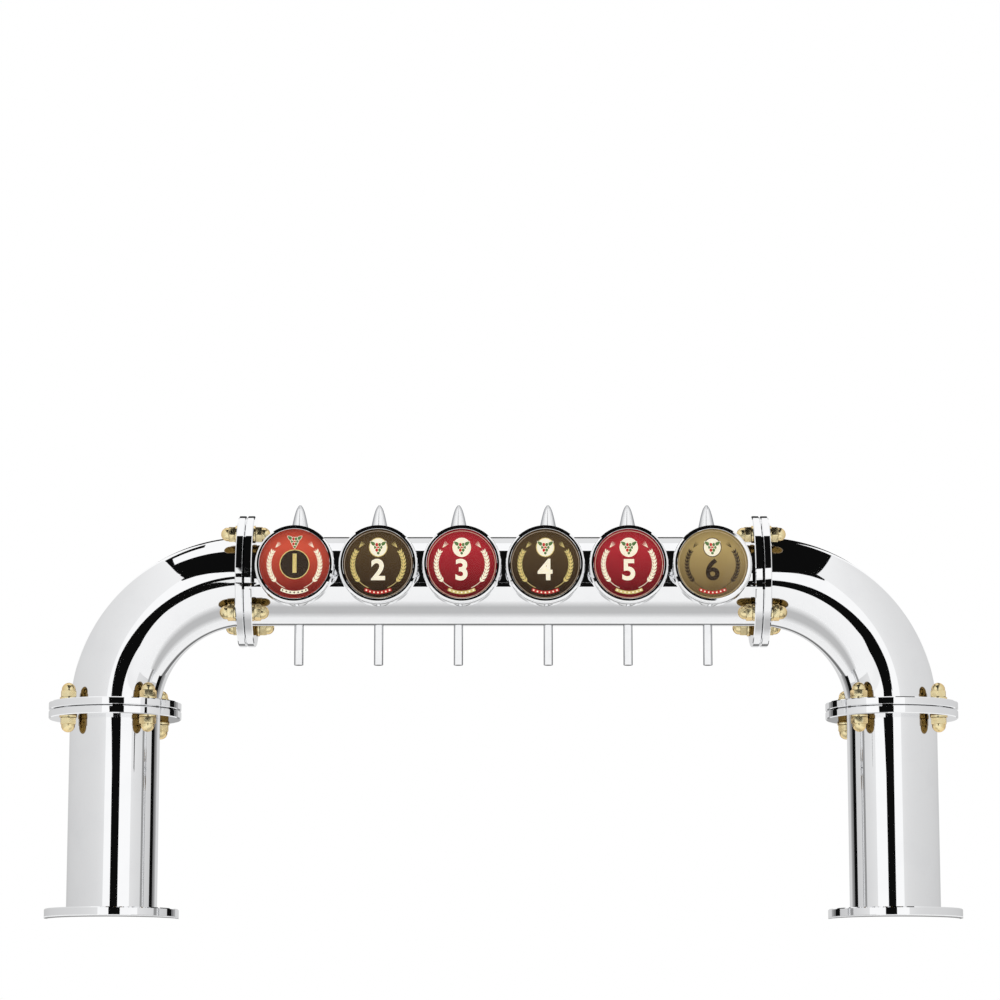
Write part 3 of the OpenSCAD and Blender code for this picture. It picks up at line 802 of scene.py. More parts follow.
def flange_joints() -> List[Matrix]:
    """Works out where the four flange joints are.

    Returns:
        Each joint's frame, with Z along the tube.
    """
    frames: List[Matrix] = []
    for side in Side:
        s = side.value
        frames.append(Matrix.Translation((s * LEG_X, 0, LEG_JOINT_Z))
                      @ Matrix.Rotation(s * STUD_TURN, 4, "Z"))
        frames.append(Matrix.Translation((s * BRIDGE_X, 0, AXIS_Z))
                      @ Matrix.Rotation(s * math.pi / 2, 4, "Y")
                      @ Matrix.Rotation(-s * STUD_TURN, 4, "Z"))
    return frames


@dataclass
class DomeNuts:
    """The gilt dome nuts on both sides of the four flange joints.

    Args:
        across_flats: Width of a nut's hexagon.
        hex_height: Height of the hexagon.
        chamfer_from: Share of the hexagon's half width at which its chamfer begins.
        chamfer_fall: Angle of the chamfer in degrees.
        edge: Width of the softened edges.
        height: Whole height of a nut.
        dome_d: Diameter of the dome's foot.
        sunk: Depth of the dome's foot in the hexagon.
        collar: Height of the straight collar under the dome.
        dome_steps: Segments of the dome's arc.
        seat: Distance from a joint's plane to a nut's foot.
        circle: Radius of the circle that the nuts stand on.
    """

    across_flats: float = 17 * MM
    hex_height: float = 8 * MM
    chamfer_from: float = 0.97
    chamfer_fall: float = 30
    edge: float = 0.25 * MM
    height: float = 17 * MM
    dome_d: float = 15.8 * MM
    sunk: float = 1 * MM
    collar: float = 0.6 * MM
    dome_steps: int = 16
    seat: float = 11.5 * MM
    circle: float = 65 * MM

    def turning(self, flat: float, corner: float) -> bmesh.types.BMesh:
        """Turns the solid whose cones chamfer the hexagon.

        Args:
            flat: Distance of the hexagon's sides from its axis.
            corner: Distance of its corners.

        Returns:
            The turned solid.
        """
        start = flat * self.chamfer_from
        drop = (corner - start) * math.tan(math.radians(self.chamfer_fall))
        bm = bmesh.new()
        lathe(bm, [(0, 0), (start, 0), (corner, drop), (corner, self.hex_height - drop),
                   (start, self.hex_height), (0, self.hex_height)], 48)
        return bm

    def dome(self) -> List[Tuple[float, float]]:
        """Draws the outline of the dome with its collar.

        Returns:
            Radius and height pairs in metres.
        """
        rise = self.height - self.hex_height
        foot = self.dome_d / 2
        bow = (foot * foot + rise * rise) / (2 * rise)
        sweep = math.asin(min(1.0, foot / bow))
        outline = [(0, self.hex_height - self.sunk), (foot, self.hex_height - self.sunk),
                   (foot, self.hex_height + self.collar)]
        for step in range(1, self.dome_steps + 1):
            angle = sweep * (1 - step / self.dome_steps)
            outline.append((bow * math.sin(angle), self.height - bow + bow * math.cos(angle)))
        return outline

    def one(self) -> bmesh.types.BMesh:
        """Builds one nut that stands on the origin and points up Z.

        Returns:
            The nut's mesh.
        """
        flat = self.across_flats / 2
        corner = flat / math.cos(math.pi / 6)
        bm = bmesh.new()
        bmesh.ops.create_cone(bm, cap_ends=True, segments=6, radius1=corner, radius2=corner,
                              depth=self.hex_height)
        bmesh.ops.rotate(bm, verts=bm.verts, matrix=Matrix.Rotation(math.pi / 6, 3, "Z"))
        bmesh.ops.translate(bm, verts=bm.verts, vec=(0, 0, self.hex_height / 2))
        hexagon = add_piece("nut_hexagon", bm, [])
        turned = add_piece("nut_turning", self.turning(flat, corner), [])
        trim = hexagon.modifiers.new("trim", "BOOLEAN")
        trim.operation, trim.solver, trim.object = "INTERSECT", "EXACT", turned
        soften = hexagon.modifiers.new("soften", "BEVEL")
        soften.width, soften.segments, soften.limit_method = self.edge, 2, "ANGLE"
        soften.angle_limit = math.radians(25)
        nut = finished_mesh(hexagon)
        bpy.data.objects.remove(turned)
        lathe(nut, self.dome(), 32)
        return nut

    def places(self) -> List[Matrix]:
        """Works out where the nuts stand.

        Returns:
            Each nut's frame, with Z away from its joint.
        """
        frames: List[Matrix] = []
        for joint in flange_joints():
            for turn in range(4):
                for face in (1, -1):
                    spot = Matrix.Rotation(math.radians(45 + 90 * turn), 4, "Z") @ \
                        Matrix.Translation((self.circle, 0, face * self.seat))
                    if face < 0:
                        spot = spot @ Matrix.Rotation(math.pi, 4, "X")
                    frames.append(joint @ spot)
        return frames

    def build(self, finish: bpy.types.Material) -> bpy.types.Object:
        """Copies the nut to each of its places.

        Args:
            finish: The nuts' material.

        Returns:
            One piece with all the nuts.
        """
        single = bpy.data.meshes.new("single_nut")
        nut = self.one()
        nut.to_mesh(single)
        nut.free()
        bm = bmesh.new()
        for place in self.places():
            before = len(bm.verts)
            bm.from_mesh(single)
            bmesh.ops.transform(bm, matrix=place, verts=list(bm.verts)[before:])
        bpy.data.meshes.remove(single)
        piece = add_piece("gilt_dome_nuts", bm, [finish], 30.0)
        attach(piece, "tower")
        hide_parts("dome_nuts")
        return piece


@dataclass
class Tower:
    """The welded and bolted frame: legs, elbows, bridge and what runs inside.

    Args:
        chrome: The polished solids.
        steel: The solids of plain steel.
        brass: The solids of brass.
        gilt: The gilt solids.
        rubber: The solids of rubber.
        nuts: The dome nuts.
    """

    chrome: Sequence[str] = (
        "left_base_plate", "right_base_plate", "left_leg_tube", "right_leg_tube",
        "left_leg_flange", "right_leg_flange", "elbow_flanges", "left_bridge_flange",
        "right_bridge_flange", "left_elbow", "right_elbow", "bridge_tube")
    steel: Sequence[str] = ("flange_studs", "left_beer_lines", "right_beer_lines", "coolant_line",
                            "badge_stems", "badge_nuts", "tap_shanks")
    brass: Sequence[str] = ("line_unions", "tap_shank_nuts")
    gilt: Sequence[str] = ("flange_washers",)
    rubber: Sequence[str] = ("base_seals", "joint_gaskets", "light_cable")
    nuts: DomeNuts = field(default_factory=DomeNuts)

    def dress(self) -> None:
        """Gives each solid of the frame its finish."""
        for names, finish in ((self.chrome, CHROME), (self.steel, STEEL), (self.brass, BRASS),
                              (self.gilt, GILT), (self.rubber, RUBBER)):
            dress(names, finish)

    def build(self) -> List[bpy.types.Object]:
        """Builds the finer pieces of the frame."""
        return [self.nuts.build(GILT.material())]


CREAM = Ink("cream_ink", (0.90, 0.84, 0.68), (0.78, 0.70, 0.52))
PALE_GOLD = Ink("pale_gold_ink", (0.66, 0.55, 0.22), (0.50, 0.38, 0.12))
LEAF_GREEN = Ink("leaf_green_ink", (0.12, 0.21, 0.07), (0.06, 0.13, 0.04))
SIGNAL_RED = Ink("signal_red_ink", (0.52, 0.035, 0.030), (0.36, 0.018, 0.016))
NIGHT = Ink("night_ink", (0.020, 0.012, 0.008), (0.040, 0.026, 0.016))


@dataclass(frozen=True)
class BadgeColours:
    """The colours of one badge's print.

    Args:
        upper: Colour at the top.
        lower: Colour at the bottom.
        ring: Colour of the thin ring.
        figure: Ink of the large figure.
        ears: Ink of the barley.
        ribbon: Ink of the ribbon.
        roundel: Ink of a disc behind the figure, if there is one.
    """

    upper: Tone
    lower: Tone
    ring: Tone
    figure: Ink
    ears: Ink
    ribbon: Ink
    roundel: Optional[Ink] = None


ORANGE_RED = BadgeColours((0.52, 0.070, 0.038), (0.15, 0.012, 0.009), (0.36, 0.05, 0.035),
                          PALE_GOLD, CREAM, CREAM, NIGHT)
DARK_BROWN = BadgeColours((0.074, 0.046, 0.019), (0.024, 0.012, 0.005), (0.36, 0.28, 0.20),
                          CREAM, PALE_GOLD, SIGNAL_RED)
RUBY = BadgeColours((0.37, 0.020, 0.028), (0.105, 0.004, 0.006), (0.60, 0.38, 0.28),
                    CREAM, CREAM, PALE_GOLD)
TAN = BadgeColours((0.37, 0.27, 0.105), (0.12, 0.078, 0.030), (0.52, 0.40, 0.22),
                   NIGHT, NIGHT, SIGNAL_RED)
BADGE_ROW = (ORANGE_RED, DARK_BROWN, RUBY, DARK_BROWN, RUBY, TAN)


@dataclass(frozen=True)
class EarShape:
    """The measures of an ear of barley that follows a badge's edge.

    Its angles are in degrees. They go from the badge's lowest point to the ear's side.

    Args:
        radius: Radius of the stem's arc.
        stem: Half of the stem's width.
        foot: Angle of the stem's foot.
        bend: Angle that the stem covers.
        first: Angle of the lowest grains.
        rows: Rows of three grains.
        step: Angle between the rows.
        grain: Half of a grain's length and half of its width.
        offset: Distance of the outer grains from the stem.
        lean: Angle between the outer grains and the stem.
        tip: Angle of the awns' foot.
        awn: Half of an awn's length and half of its width.
        fan: Angles between the awns and the stem.
    """

    radius: float = 29.0 * MM
    stem: float = 0.3 * MM
    foot: float = 22
    bend: float = 62
    first: float = 52
    rows: int = 10
    step: float = 7.6
    grain: Tuple[float, float] = (2.5 * MM, 0.85 * MM)
    offset: float = 1.7 * MM
    lean: float = 24
    tip: float = 131
    awn: Tuple[float, float] = (4.2 * MM, 0.28 * MM)
    fan: Tuple[float, ...] = (-16, -5, 6, 17)


@dataclass
class Artwork:
    """A badge's figure, drawn with X to the right and Y up, one thin layer of ink on another.

    Args:
        layer: Thickness of one layer of ink.
        inks: The inks used so far, in the order of the faces' indices.
    """

    layer: float = 0.006 * MM
    inks: List[Ink] = field(default_factory=list)

    def __post_init__(self) -> None:
        """Starts an empty sheet."""
        self.sheet = bmesh.new()

    def lay(self, part: bmesh.types.BMesh, ink: Ink, level: int) -> None:
        """Gives a flat shape its thickness and adds it to the sheet.

        Args:
            part: The flat shape, which is freed.
            ink: Its ink.
            level: How many layers of ink lie under it.
        """
        if ink not in self.inks:
            self.inks.append(ink)
        grown = bmesh.ops.extrude_face_region(part, geom=part.faces)
        raised = [v for v in grown["geom"] if isinstance(v, bmesh.types.BMVert)]
        bmesh.ops.translate(part, verts=raised, vec=(0, 0, self.layer))
        bmesh.ops.translate(part, verts=part.verts, vec=(0, 0, level * self.layer))
        bmesh.ops.recalc_face_normals(part, faces=part.faces)
        for face in part.faces:
            face.material_index = self.inks.index(ink)
        merge_into(self.sheet, part)

    def oval(self, centre: Tuple[float, float], size: Tuple[float, float], turn: float, ink: Ink,
             level: int = 0, pinch: float = 0.0) -> None:
        """Draws an oval, or a leaf where its ends are pinched.

        Args:
            centre: Its middle.
            size: Half of its length and half of its width.
            turn: Its angle in degrees.
            ink: Its ink.
            level: How many layers of ink lie under it.
            pinch: Share by which its ends narrow.
        """
        part = bmesh.new()
        bmesh.ops.create_circle(part, cap_ends=True, segments=20, radius=1.0)
        for v in part.verts:
            v.co.y *= 1.0 - pinch * abs(v.co.x)
        bmesh.ops.scale(part, verts=part.verts, vec=(size[0], size[1], 1))
        bmesh.ops.rotate(part, verts=part.verts,
                         matrix=Matrix.Rotation(math.radians(turn), 3, "Z"))
        bmesh.ops.translate(part, verts=part.verts, vec=(centre[0], centre[1], 0))
        self.lay(part, ink, level)

    def band(self, inner: float, outer: float, start: float, sweep: float, ink: Ink) -> None:
        """Draws a part of a ring round the badge's middle.

        Args:
            inner: Its inner radius.
            outer: Its outer radius.
            start: Angle in degrees where it starts.
            sweep: Angle in degrees that it covers.
            ink: Its ink.
        """
        part = bmesh.new()
        ends = [part.verts.new((*on_circle(r, start), 0)) for r in (inner, outer)]
        edge = part.edges.new(ends)
        bmesh.ops.spin(part, geom=ends + [edge], cent=(0, 0, 0), axis=(0, 0, 1),
                       angle=math.radians(sweep), steps=int(abs(sweep) / 4))
        self.lay(part, ink, 0)

    def figure(self, number: int, size: float, ink: Ink, level: int, rise: float = 0.0) -> None:
        """Draws a plain number on the middle line.

        Args:
            number: The number.
            size: The size of its type.
            ink: Its ink.
            level: How many layers of ink lie under it.
            rise: Height of its middle above the badge's middle.
        """
        curve = bpy.data.curves.new("figure", "FONT")
        curve.body, curve.size, curve.offset = str(number), size, size * 0.028
        curve.align_x, curve.align_y, curve.resolution_u = "CENTER", "CENTER", 6
        carrier = bpy.data.objects.new("figure", curve)
        bpy.context.scene.collection.objects.link(carrier)
        part = finished_mesh(carrier)
        bmesh.ops.remove_doubles(part, verts=part.verts, dist=1e-6)
        bmesh.ops.translate(part, verts=part.verts, vec=(0, rise, 0))
        self.lay(part, ink, level)

    def ear(self, side: Side, ink: Ink, shape: EarShape = EarShape()) -> None:
        """Draws one ear of barley that follows the badge's edge.

        Args:
            side: The side of the figure that it grows on.
            ink: Its ink.
            shape: Its measures.
        """
        s, bottom = side.value, -90
        self.band(shape.radius - shape.stem, shape.radius + shape.stem,
                  bottom + s * shape.foot, s * shape.bend, ink)
        for row in range(shape.rows):
            angle = bottom + s * (shape.first + row * shape.step)
            for out in (1, -1, 0):
                spot = on_circle(shape.radius + out * shape.offset, angle)
                self.oval(spot, shape.grain, angle + s * (90 - out * shape.lean), ink, 1, 0.35)
        foot_x, foot_y = on_circle(shape.radius, bottom + s * shape.tip)
        for spread in shape.fan:
            way = bottom + s * (shape.tip + 90) + spread
            x, y = on_circle(shape.awn[0], way)
            self.oval((foot_x + x, foot_y + y), shape.awn, way, ink, 0, 0.5)

    def hop(self, centre: Tuple[float, float], scale: float, level: int) -> None:
        """Draws a small hop cone with two leaves.

        Args:
            centre: The cone's middle.
            scale: Its size, where 1 gives a cone about 12 mm high.
            level: How many layers of ink lie under it.
        """
        k = scale * MM
        leaf_x, leaf_y, leaf_turn = 4.6 * k, 3.6 * k, 38
        gap, row_gap, lowest = 2.7, 2.6, -5.0
        for s in (-1, 1):
            for border, ink, over in ((0.5, CREAM, 0), (0.0, LEAF_GREEN, 1)):
                self.oval((centre[0] + s * leaf_x, centre[1] + leaf_y),
                          ((3.4 + border) * k, (1.7 + border) * k), s * leaf_turn, ink,
                          level + over, 0.4)
        for row, count in enumerate((1, 2, 3, 2)):
            over = level + 2 + row % 2 * 2
            for place in range(count):
                spot = (centre[0] + (place - (count - 1) / 2) * gap * k,
                        centre[1] + (lowest + row * row_gap) * k)
                self.oval(spot, (2.2 * k, 1.8 * k), 90, CREAM, over)
                self.oval(spot, (1.7 * k, 1.3 * k), 90,
                          SIGNAL_RED if (row + place) % 2 else LEAF_GREEN, over + 1)

    def finish(self, name: str, place: Matrix) -> bpy.types.Object:
        """Makes the drawing a piece on its badge.

        Args:
            name: The piece's name.
            place: The badge's frame.

        Returns:
            The piece.
        """
        bmesh.ops.transform(self.sheet, matrix=place, verts=self.sheet.verts)
        return add_piece(name, self.sheet, [ink.material() for ink in self.inks], 30.0)


@dataclass
class Badge:
    """One badge: its place in the row, its print and its bezel.

    Args:
        number: The badge's number, from 1 at the left.
        colours: The print's colours.
        pitch: Distance between neighbouring badges.
        height: Height of the badge's centre.
        front: Y of the print's face.
        thick: Thickness of the print.
        radius: Radius of the print.
        roundel: Radius of the disc behind the figure, where there is one.
        roundel_line: Width of its line.
        hop_disc: Half of the height and half of the width of the disc behind the hop cone.
        hop_line: Width of that disc's line.
        hop_rise: Height of that disc's middle above the badge's middle.
        ribbon: Inner and outer radius of the ribbon.
        ribbon_start: Angle in degrees where the ribbon starts.
        ribbon_sweep: Angle in degrees that it covers.
        dots: Dots on the ribbon.
        bezel_front: Y of the bezel's front.
        bezel_back: Y of the bezel's foot on the housing.
        bezel_outer: Outer radius of the bezel.
        bezel_inner: Inner radius of the bezel.
        bezel_slope: Width of the slope round its front.
    """

    number: int
    colours: BadgeColours
    pitch: float = 95 * MM
    height: float = 395 * MM
    front: float = -103.95 * MM
    thick: float = 0.9 * MM
    radius: float = 42.4 * MM
    roundel: float = 17.2 * MM
    roundel_line: float = 1.0 * MM
    hop_disc: Tuple[float, float] = (11.2 * MM, 10.6 * MM)
    hop_line: float = 0.9 * MM
    hop_rise: float = 19.5 * MM
    ribbon: Tuple[float, float] = (30.6 * MM, 34.2 * MM)
    ribbon_start: float = -118
    ribbon_sweep: float = 56
    dots: int = 7
    bezel_front: float = -110 * MM
    bezel_back: float = -106 * MM
    bezel_outer: float = 44.3 * MM
    bezel_inner: float = 40.0 * MM
    bezel_slope: float = 1.7 * MM

    @property
    def centre(self) -> Vector:
        """The middle of the print's face."""
        middle = (len(BADGE_ROW) + 1) / 2
        return Vector(((self.number - middle) * self.pitch, self.front, self.height))

    def facing(self) -> Matrix:
        """Returns the frame whose Z points out of the badge and whose Y is up."""
        return Matrix.Translation(self.centre) @ Matrix.Rotation(math.pi / 2, 4, "X")

    def sheet(self) -> bpy.types.Object:
        """Builds the printed sheet.

        Returns:
            The sheet's piece.
        """
        bm = bmesh.new()
        lathe(bm, [(0, -self.thick), (self.radius, -self.thick), (self.radius, 0), (0, 0)], 96,
              self.facing())
        ground = PrintFace(f"print_face_{self.number}", self.centre, self.colours.upper,
                           self.colours.lower, self.colours.ring)
        return add_piece(f"badge_print_{self.number}", bm, [ground.material()])

    def artwork(self) -> bpy.types.Object:
        """Draws the badge's number between two ears of barley under a hop cone.

        Returns:
            The ink's piece.
        """
        art, look = Artwork(), self.colours
        if look.roundel:
            inner = self.roundel - self.roundel_line
            art.oval((0, 0), (self.roundel, self.roundel), 0, look.figure)
            art.oval((0, 0), (inner, inner), 0, look.roundel, 1)
            art.figure(self.number, 30 * MM, look.figure, 2)
        else:
            art.figure(self.number, 33 * MM, look.figure, 0, rise=-7.5 * MM)
            for line, ink, level in ((0.0, look.ears, 0), (self.hop_line, CREAM, 1)):
                art.oval((0, self.hop_rise), (self.hop_disc[0] - line, self.hop_disc[1] - line),
                         90, ink, level)
        for side in Side:
            art.ear(side, look.ears)
        if look.roundel:
            art.hop((0, 26.0 * MM), 1.1, 0)
        else:
            art.hop((0, 19.2 * MM), 1.2, 2)
        self.ribboned(art)
        return art.finish(f"badge_ink_{self.number}", self.facing())

    def ribboned(self, art: Artwork) -> None:
        """Draws the ribbon under the number and the dots on it.

        Args:
            art: The drawing that they are added to.
        """
        inner, outer = self.ribbon
        dot_ink = NIGHT if self.colours.ribbon is CREAM else CREAM
        art.band(inner, outer, self.ribbon_start, self.ribbon_sweep, self.colours.ribbon)
        for dot in range(self.dots):
            angle = self.ribbon_start + (dot + 0.5) * self.ribbon_sweep / self.dots
            art.oval(on_circle((inner + outer) / 2, angle), (0.95 * MM, 0.95 * MM), 0, dot_ink, 1)

    def bezel(self) -> bpy.types.Object:
        """Turns the polished ring that holds the lens.

        Returns:
            The ring's piece.
        """
        back, front = self.front - self.bezel_back, self.front - self.bezel_front
        inner, outer, slope = self.bezel_inner, self.bezel_outer, self.bezel_slope
        fall = slope * math.tan(math.radians(30))
        throat, lip, foot = 0.3 * MM, 0.4 * MM, 0.25 * MM
        outline = [(inner + throat, back), (inner, back + throat), (inner, front - lip),
                   (inner + lip, front), (outer - slope, front), (outer, front - fall),
                   (outer, back + foot), (outer - foot, back)]
        bm = bmesh.new()
        lathe(bm, outline, 128, self.facing())
        return add_piece(f"badge_bezel_{self.number}", bm, [CHROME.material()], 24.0)

    def build(self) -> List[bpy.types.Object]:
        """Builds the badge's pieces, hangs them on the tower's body and hides the solids that they
        replace.

        Returns:
            The sheet, the ink on it and the bezel.
        """
        sheet, ink, bezel = self.sheet(), self.artwork(), self.bezel()
        for piece, node, slot in ((sheet, "badge_prints", Slot.PRINT),
                                  (ink, "badge_prints", Slot.PRINT),
                                  (bezel, "badge_bezels", Slot.CHROME)):
            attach(piece, "tower")
            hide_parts(node)
        return [sheet, ink, bezel]


@dataclass
class BadgeRow:
    """The six badges on the customer side.

    Args:
        row: The colours of each badge, from the left.
    """

    row: Sequence[BadgeColours] = BADGE_ROW

    def dress(self) -> None:
        """Gives the badges' solids their finishes."""
        dress(("badge_housings",), CHROME)
        dress(("badge_lenses",), LENS)
        dress(("light_boards",), BOARD)

    def build(self) -> List[bpy.types.Object]:
        """Builds the prints and the bezels.

        Returns:
            The pieces of all badges.
        """
        pieces: List[bpy.types.Object] = []
        for number, colours in enumerate(self.row, 1):
            pieces += Badge(number, colours).build()
        return pieces


@dataclass
class TapRow:
    """The six taps on the serving side.

    Args:
        fixed: The polished solids that don't move.
        rosette: Outline of a rosette, as radius and distance from the tube's axis in mm.
        handle: Outline of a handle, as radius and height above the tube's axis in mm.
        handle_ends: Height in mm of the handle's top and of its foot.
        ring_front: Distance of a lock ring's front from the tube's axis.
        ring_back: Distance of its back.
        ring_ease: Width of its knurling's run-out.
        ring_lip: Radius in mm of its edges.
        ring_crest: Radius in mm of its knurling.
        ring_bore: Radius in mm of its bore.
        knurls: Knurls round it.
    """

    fixed: Sequence[str] = ("tap_bodies", "tap_spouts", "tap_caps")
    rosette: Outline = (
        (10.45, 47.8), (18.7, 47.8), (19.0, 48.1), (19.0, 52.4), (18.8, 53.1), (18.1, 53.6),
        (17.2, 53.9), (16.7, 54.4), (16.4, 55.3), (16.3, 56.6), (16.1, 57.8), (15.6, 58.9),
        (15.0, 59.6), (14.4, 59.95), (10.45, 59.95))
    handle: Outline = (
        (1.1, 105.8), (2.2, 104.4), (3.6, 102.2), (4.9, 99.3), (6.2, 95.2), (7.3, 91.0),
        (8.3, 86.5), (9.5, 81.0), (11.1, 74.0), (12.7, 67.0), (13.6, 62.0), (13.8, 58.5),
        (13.1, 53.0), (11.4, 47.8), (9.4, 43.8), (8.2, 42.2), (7.7, 41.5), (8.1, 41.0),
        (8.8, 40.5), (9.0, 39.7), (8.8, 38.9), (8.1, 38.3))
    handle_ends: Tuple[float, float] = (106.0, 38.0)
    ring_front: float = 66.0 * MM
    ring_back: float = 60.0 * MM
    ring_ease: float = 0.8 * MM
    ring_lip: float = 14.2
    ring_crest: float = 15.0
    ring_bore: float = 8.2
    knurls: int = 30

    def dress(self) -> None:
        """Gives the taps' solids their finishes."""
        dress(self.fixed, TAP_CHROME)
        for number in range(1, len(TAP_PLACES) + 1):
            dress((f"tap_lever_{number}", f"flow_lever_{number}"), TAP_CHROME)
            dress((f"tap_valve_{number}",), STEEL)

    def build(self) -> List[bpy.types.Object]:
        """Builds the finer pieces of the taps.

        Returns:
            The rosettes, the knurled lock rings and the six handles.
        """
        rosettes, rings = bmesh.new(), bmesh.new()
        for x in TAP_PLACES:
            outward = Matrix.Translation((x, 0, AXIS_Z)) @ Matrix.Rotation(-math.pi / 2, 4, "X")
            lathe(rosettes, [(r * MM, h * MM) for r, h in self.rosette], 64, outward)
            self.lock_ring(rings, outward)
        pieces: List[bpy.types.Object] = []
        for name, bm, node in (("shaped_rosettes", rosettes, "tap_rosettes"),
                               ("knurled_lock_rings", rings, "tap_lock_rings")):
            piece = add_piece(name, bm, [TAP_CHROME.material()], 30.0)
            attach(piece, "tower")
            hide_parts(node)
            pieces.append(piece)
        for number, x in enumerate(TAP_PLACES, 1):
            pieces.append(self.handle_piece(number, x))
        return pieces

    def lock_ring(self, bm: bmesh.types.BMesh, outward: Matrix) -> None:
        """Adds one lock ring, whose knurls have three points each.

        Args:
            bm: The mesh that it is added to.
            outward: The tap's frame, with Z out of the tube.
        """
        part = bmesh.new()
        back, front, ease = self.ring_back, self.ring_front, self.ring_ease
        shallow, deep = 0.3, 0.55
        loops: List[List[bmesh.types.BMEdge]] = []
        for radius, height, cut in (
                (self.ring_lip, back, shallow), (self.ring_crest, back + ease, deep),
                (self.ring_crest, front - ease, deep), (self.ring_lip, front, shallow),
                (self.ring_bore, front, 0.0), (self.ring_bore, back, 0.0)):
            made = bmesh.ops.create_circle(part, segments=self.knurls * 3, radius=radius * MM,
                                           matrix=Matrix.Translation((0, 0, height)))
            for v in made["verts"][::3]:
                v.co.xy *= 1 - cut / radius
            loops.append(list({e for v in made["verts"] for e in v.link_edges}))
        for first, second in zip(loops, loops[1:] + loops[:1]):
            bmesh.ops.bridge_loops(part, edges=first + second)
        bmesh.ops.recalc_face_normals(part, faces=part.faces)
        bmesh.ops.transform(part, matrix=outward, verts=part.verts)
        merge_into(bm, part)

    def handle_piece(self, number: int, x: float) -> bpy.types.Object:
        """Turns one tap's handle.

        Args:
            number: The tap's number, from 1 at the left.
            x: Where the tap stands.

        Returns:
            The handle, which rides on its lever.
        """
        top, foot = self.handle_ends
        outline = [(0.0, top)] + eased(self.handle, 4) + [(0.0, foot)]
        bm = bmesh.new()
        lathe(bm, [(r * MM, h * MM) for r, h in outline], 48,
              Matrix.Translation((x, TAP_Y, AXIS_Z)))
        piece = add_piece(f"turned_handle_{number}", bm, [TAP_CHROME.material()], 40.0)
        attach(piece, f"handle_{number}")
        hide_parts(f"tap_handle_{number}")
        return piece


# Studio


def upright(y: float, outline: Outline) -> Tuple[Point, ...]:
    """Stands an outline of X and Z up at one Y."""
    return tuple((x, y, z) for x, z in outline)


def lying(z: float, outline: Outline) -> Tuple[Point, ...]:
    """Lays an outline of X and Y down at one Z."""
    return tuple((x, y, z) for x, y in outline)


def oblong(start: float, end: float, low: float, high: float) -> Outline:
    """Returns an outline of four corners, with X from start to end."""
    return [(start, low), (end, low), (end, high), (start, high)]


def flipped(outline: Outline) -> Outline:
    """Flips an outline across the middle and keeps the way it faces."""
    return [(-x, other) for x, other in reversed(outline)]


# Level of light of a card that looks black
BLACK = 0.004


@dataclass(frozen=True)
class Card:
    """A plain card that shows only in reflections.

    Args:
        name: The card's name.
        corners: Its corners in metres, in order.
        level: Its level of light.
        one_sided: Whether the card is clear from behind.
        places: The values of X that the card is repeated at.
    """

    name: str
    corners: Tuple[Point, ...]
    level: float = BLACK
    one_sided: bool = False
    places: Tuple[float, ...] = (0.0,)

    def shade(self, g: Graph) -> bpy.types.NodeSocket:
        """Returns the card's shader."""
        return g.glow(self.level)

    def build(self) -> bpy.types.Object:
        """Builds the card and hides it from all but glossy rays.

        Returns:
            The card.
        """
        bm = bmesh.new()
        uv = bm.loops.layers.uv.new("UVMap")
        for place in self.places:
            face = bm.faces.new([bm.verts.new((x + place, y, z)) for x, y, z in self.corners])
            for loop, spot in zip(face.loops, ((0, 0), (1, 0), (1, 1), (0, 1))):
                loop[uv].uv = spot
        made, g = bare_material(self.name)
        surface = self.shade(g)
        g.surface(g.clear_behind(surface) if self.one_sided else surface)
        card = add_piece(self.name, bm, [made])
        for rays in ("camera", "diffuse", "shadow", "transmission", "volume_scatter"):
            setattr(card, f"visible_{rays}", False)
        return card


@dataclass(frozen=True)
class Panel(Card):
    """A four-cornered soft box whose light changes from corner to corner.

    Args:
        levels: Level of light at each corner.
        fade: Share of the height over which the two long edges fade out.
    """

    levels: Tuple[float, float, float, float] = (0.6, 0.6, 0.8, 0.8)
    fade: float = 0.0

    def shade(self, g: Graph) -> bpy.types.NodeSocket:
        """Makes the panel's light, which runs from corner to corner.

        Args:
            g: The graph that it goes into.

        Returns:
            The shader.
        """
        split = g.node("ShaderNodeSeparateXYZ")
        g.feed(split.inputs[0], g.node("ShaderNodeTexCoord").outputs["UV"])
        across, up = split.outputs["X"], split.outputs["Y"]
        low = g.span(across, 0.0, 1.0, self.levels[0], self.levels[1])
        high = g.span(across, 0.0, 1.0, self.levels[3], self.levels[2])
        glow = g.glow(g.span(up, 0.0, 1.0, low, high))
        if not self.fade:
            return glow
        edge = g.maths("MINIMUM", up, g.maths("SUBTRACT", 1.0, up))
        return g.clear_where(g.span(edge, 0.0, self.fade, 1.0, 0.0), glow)


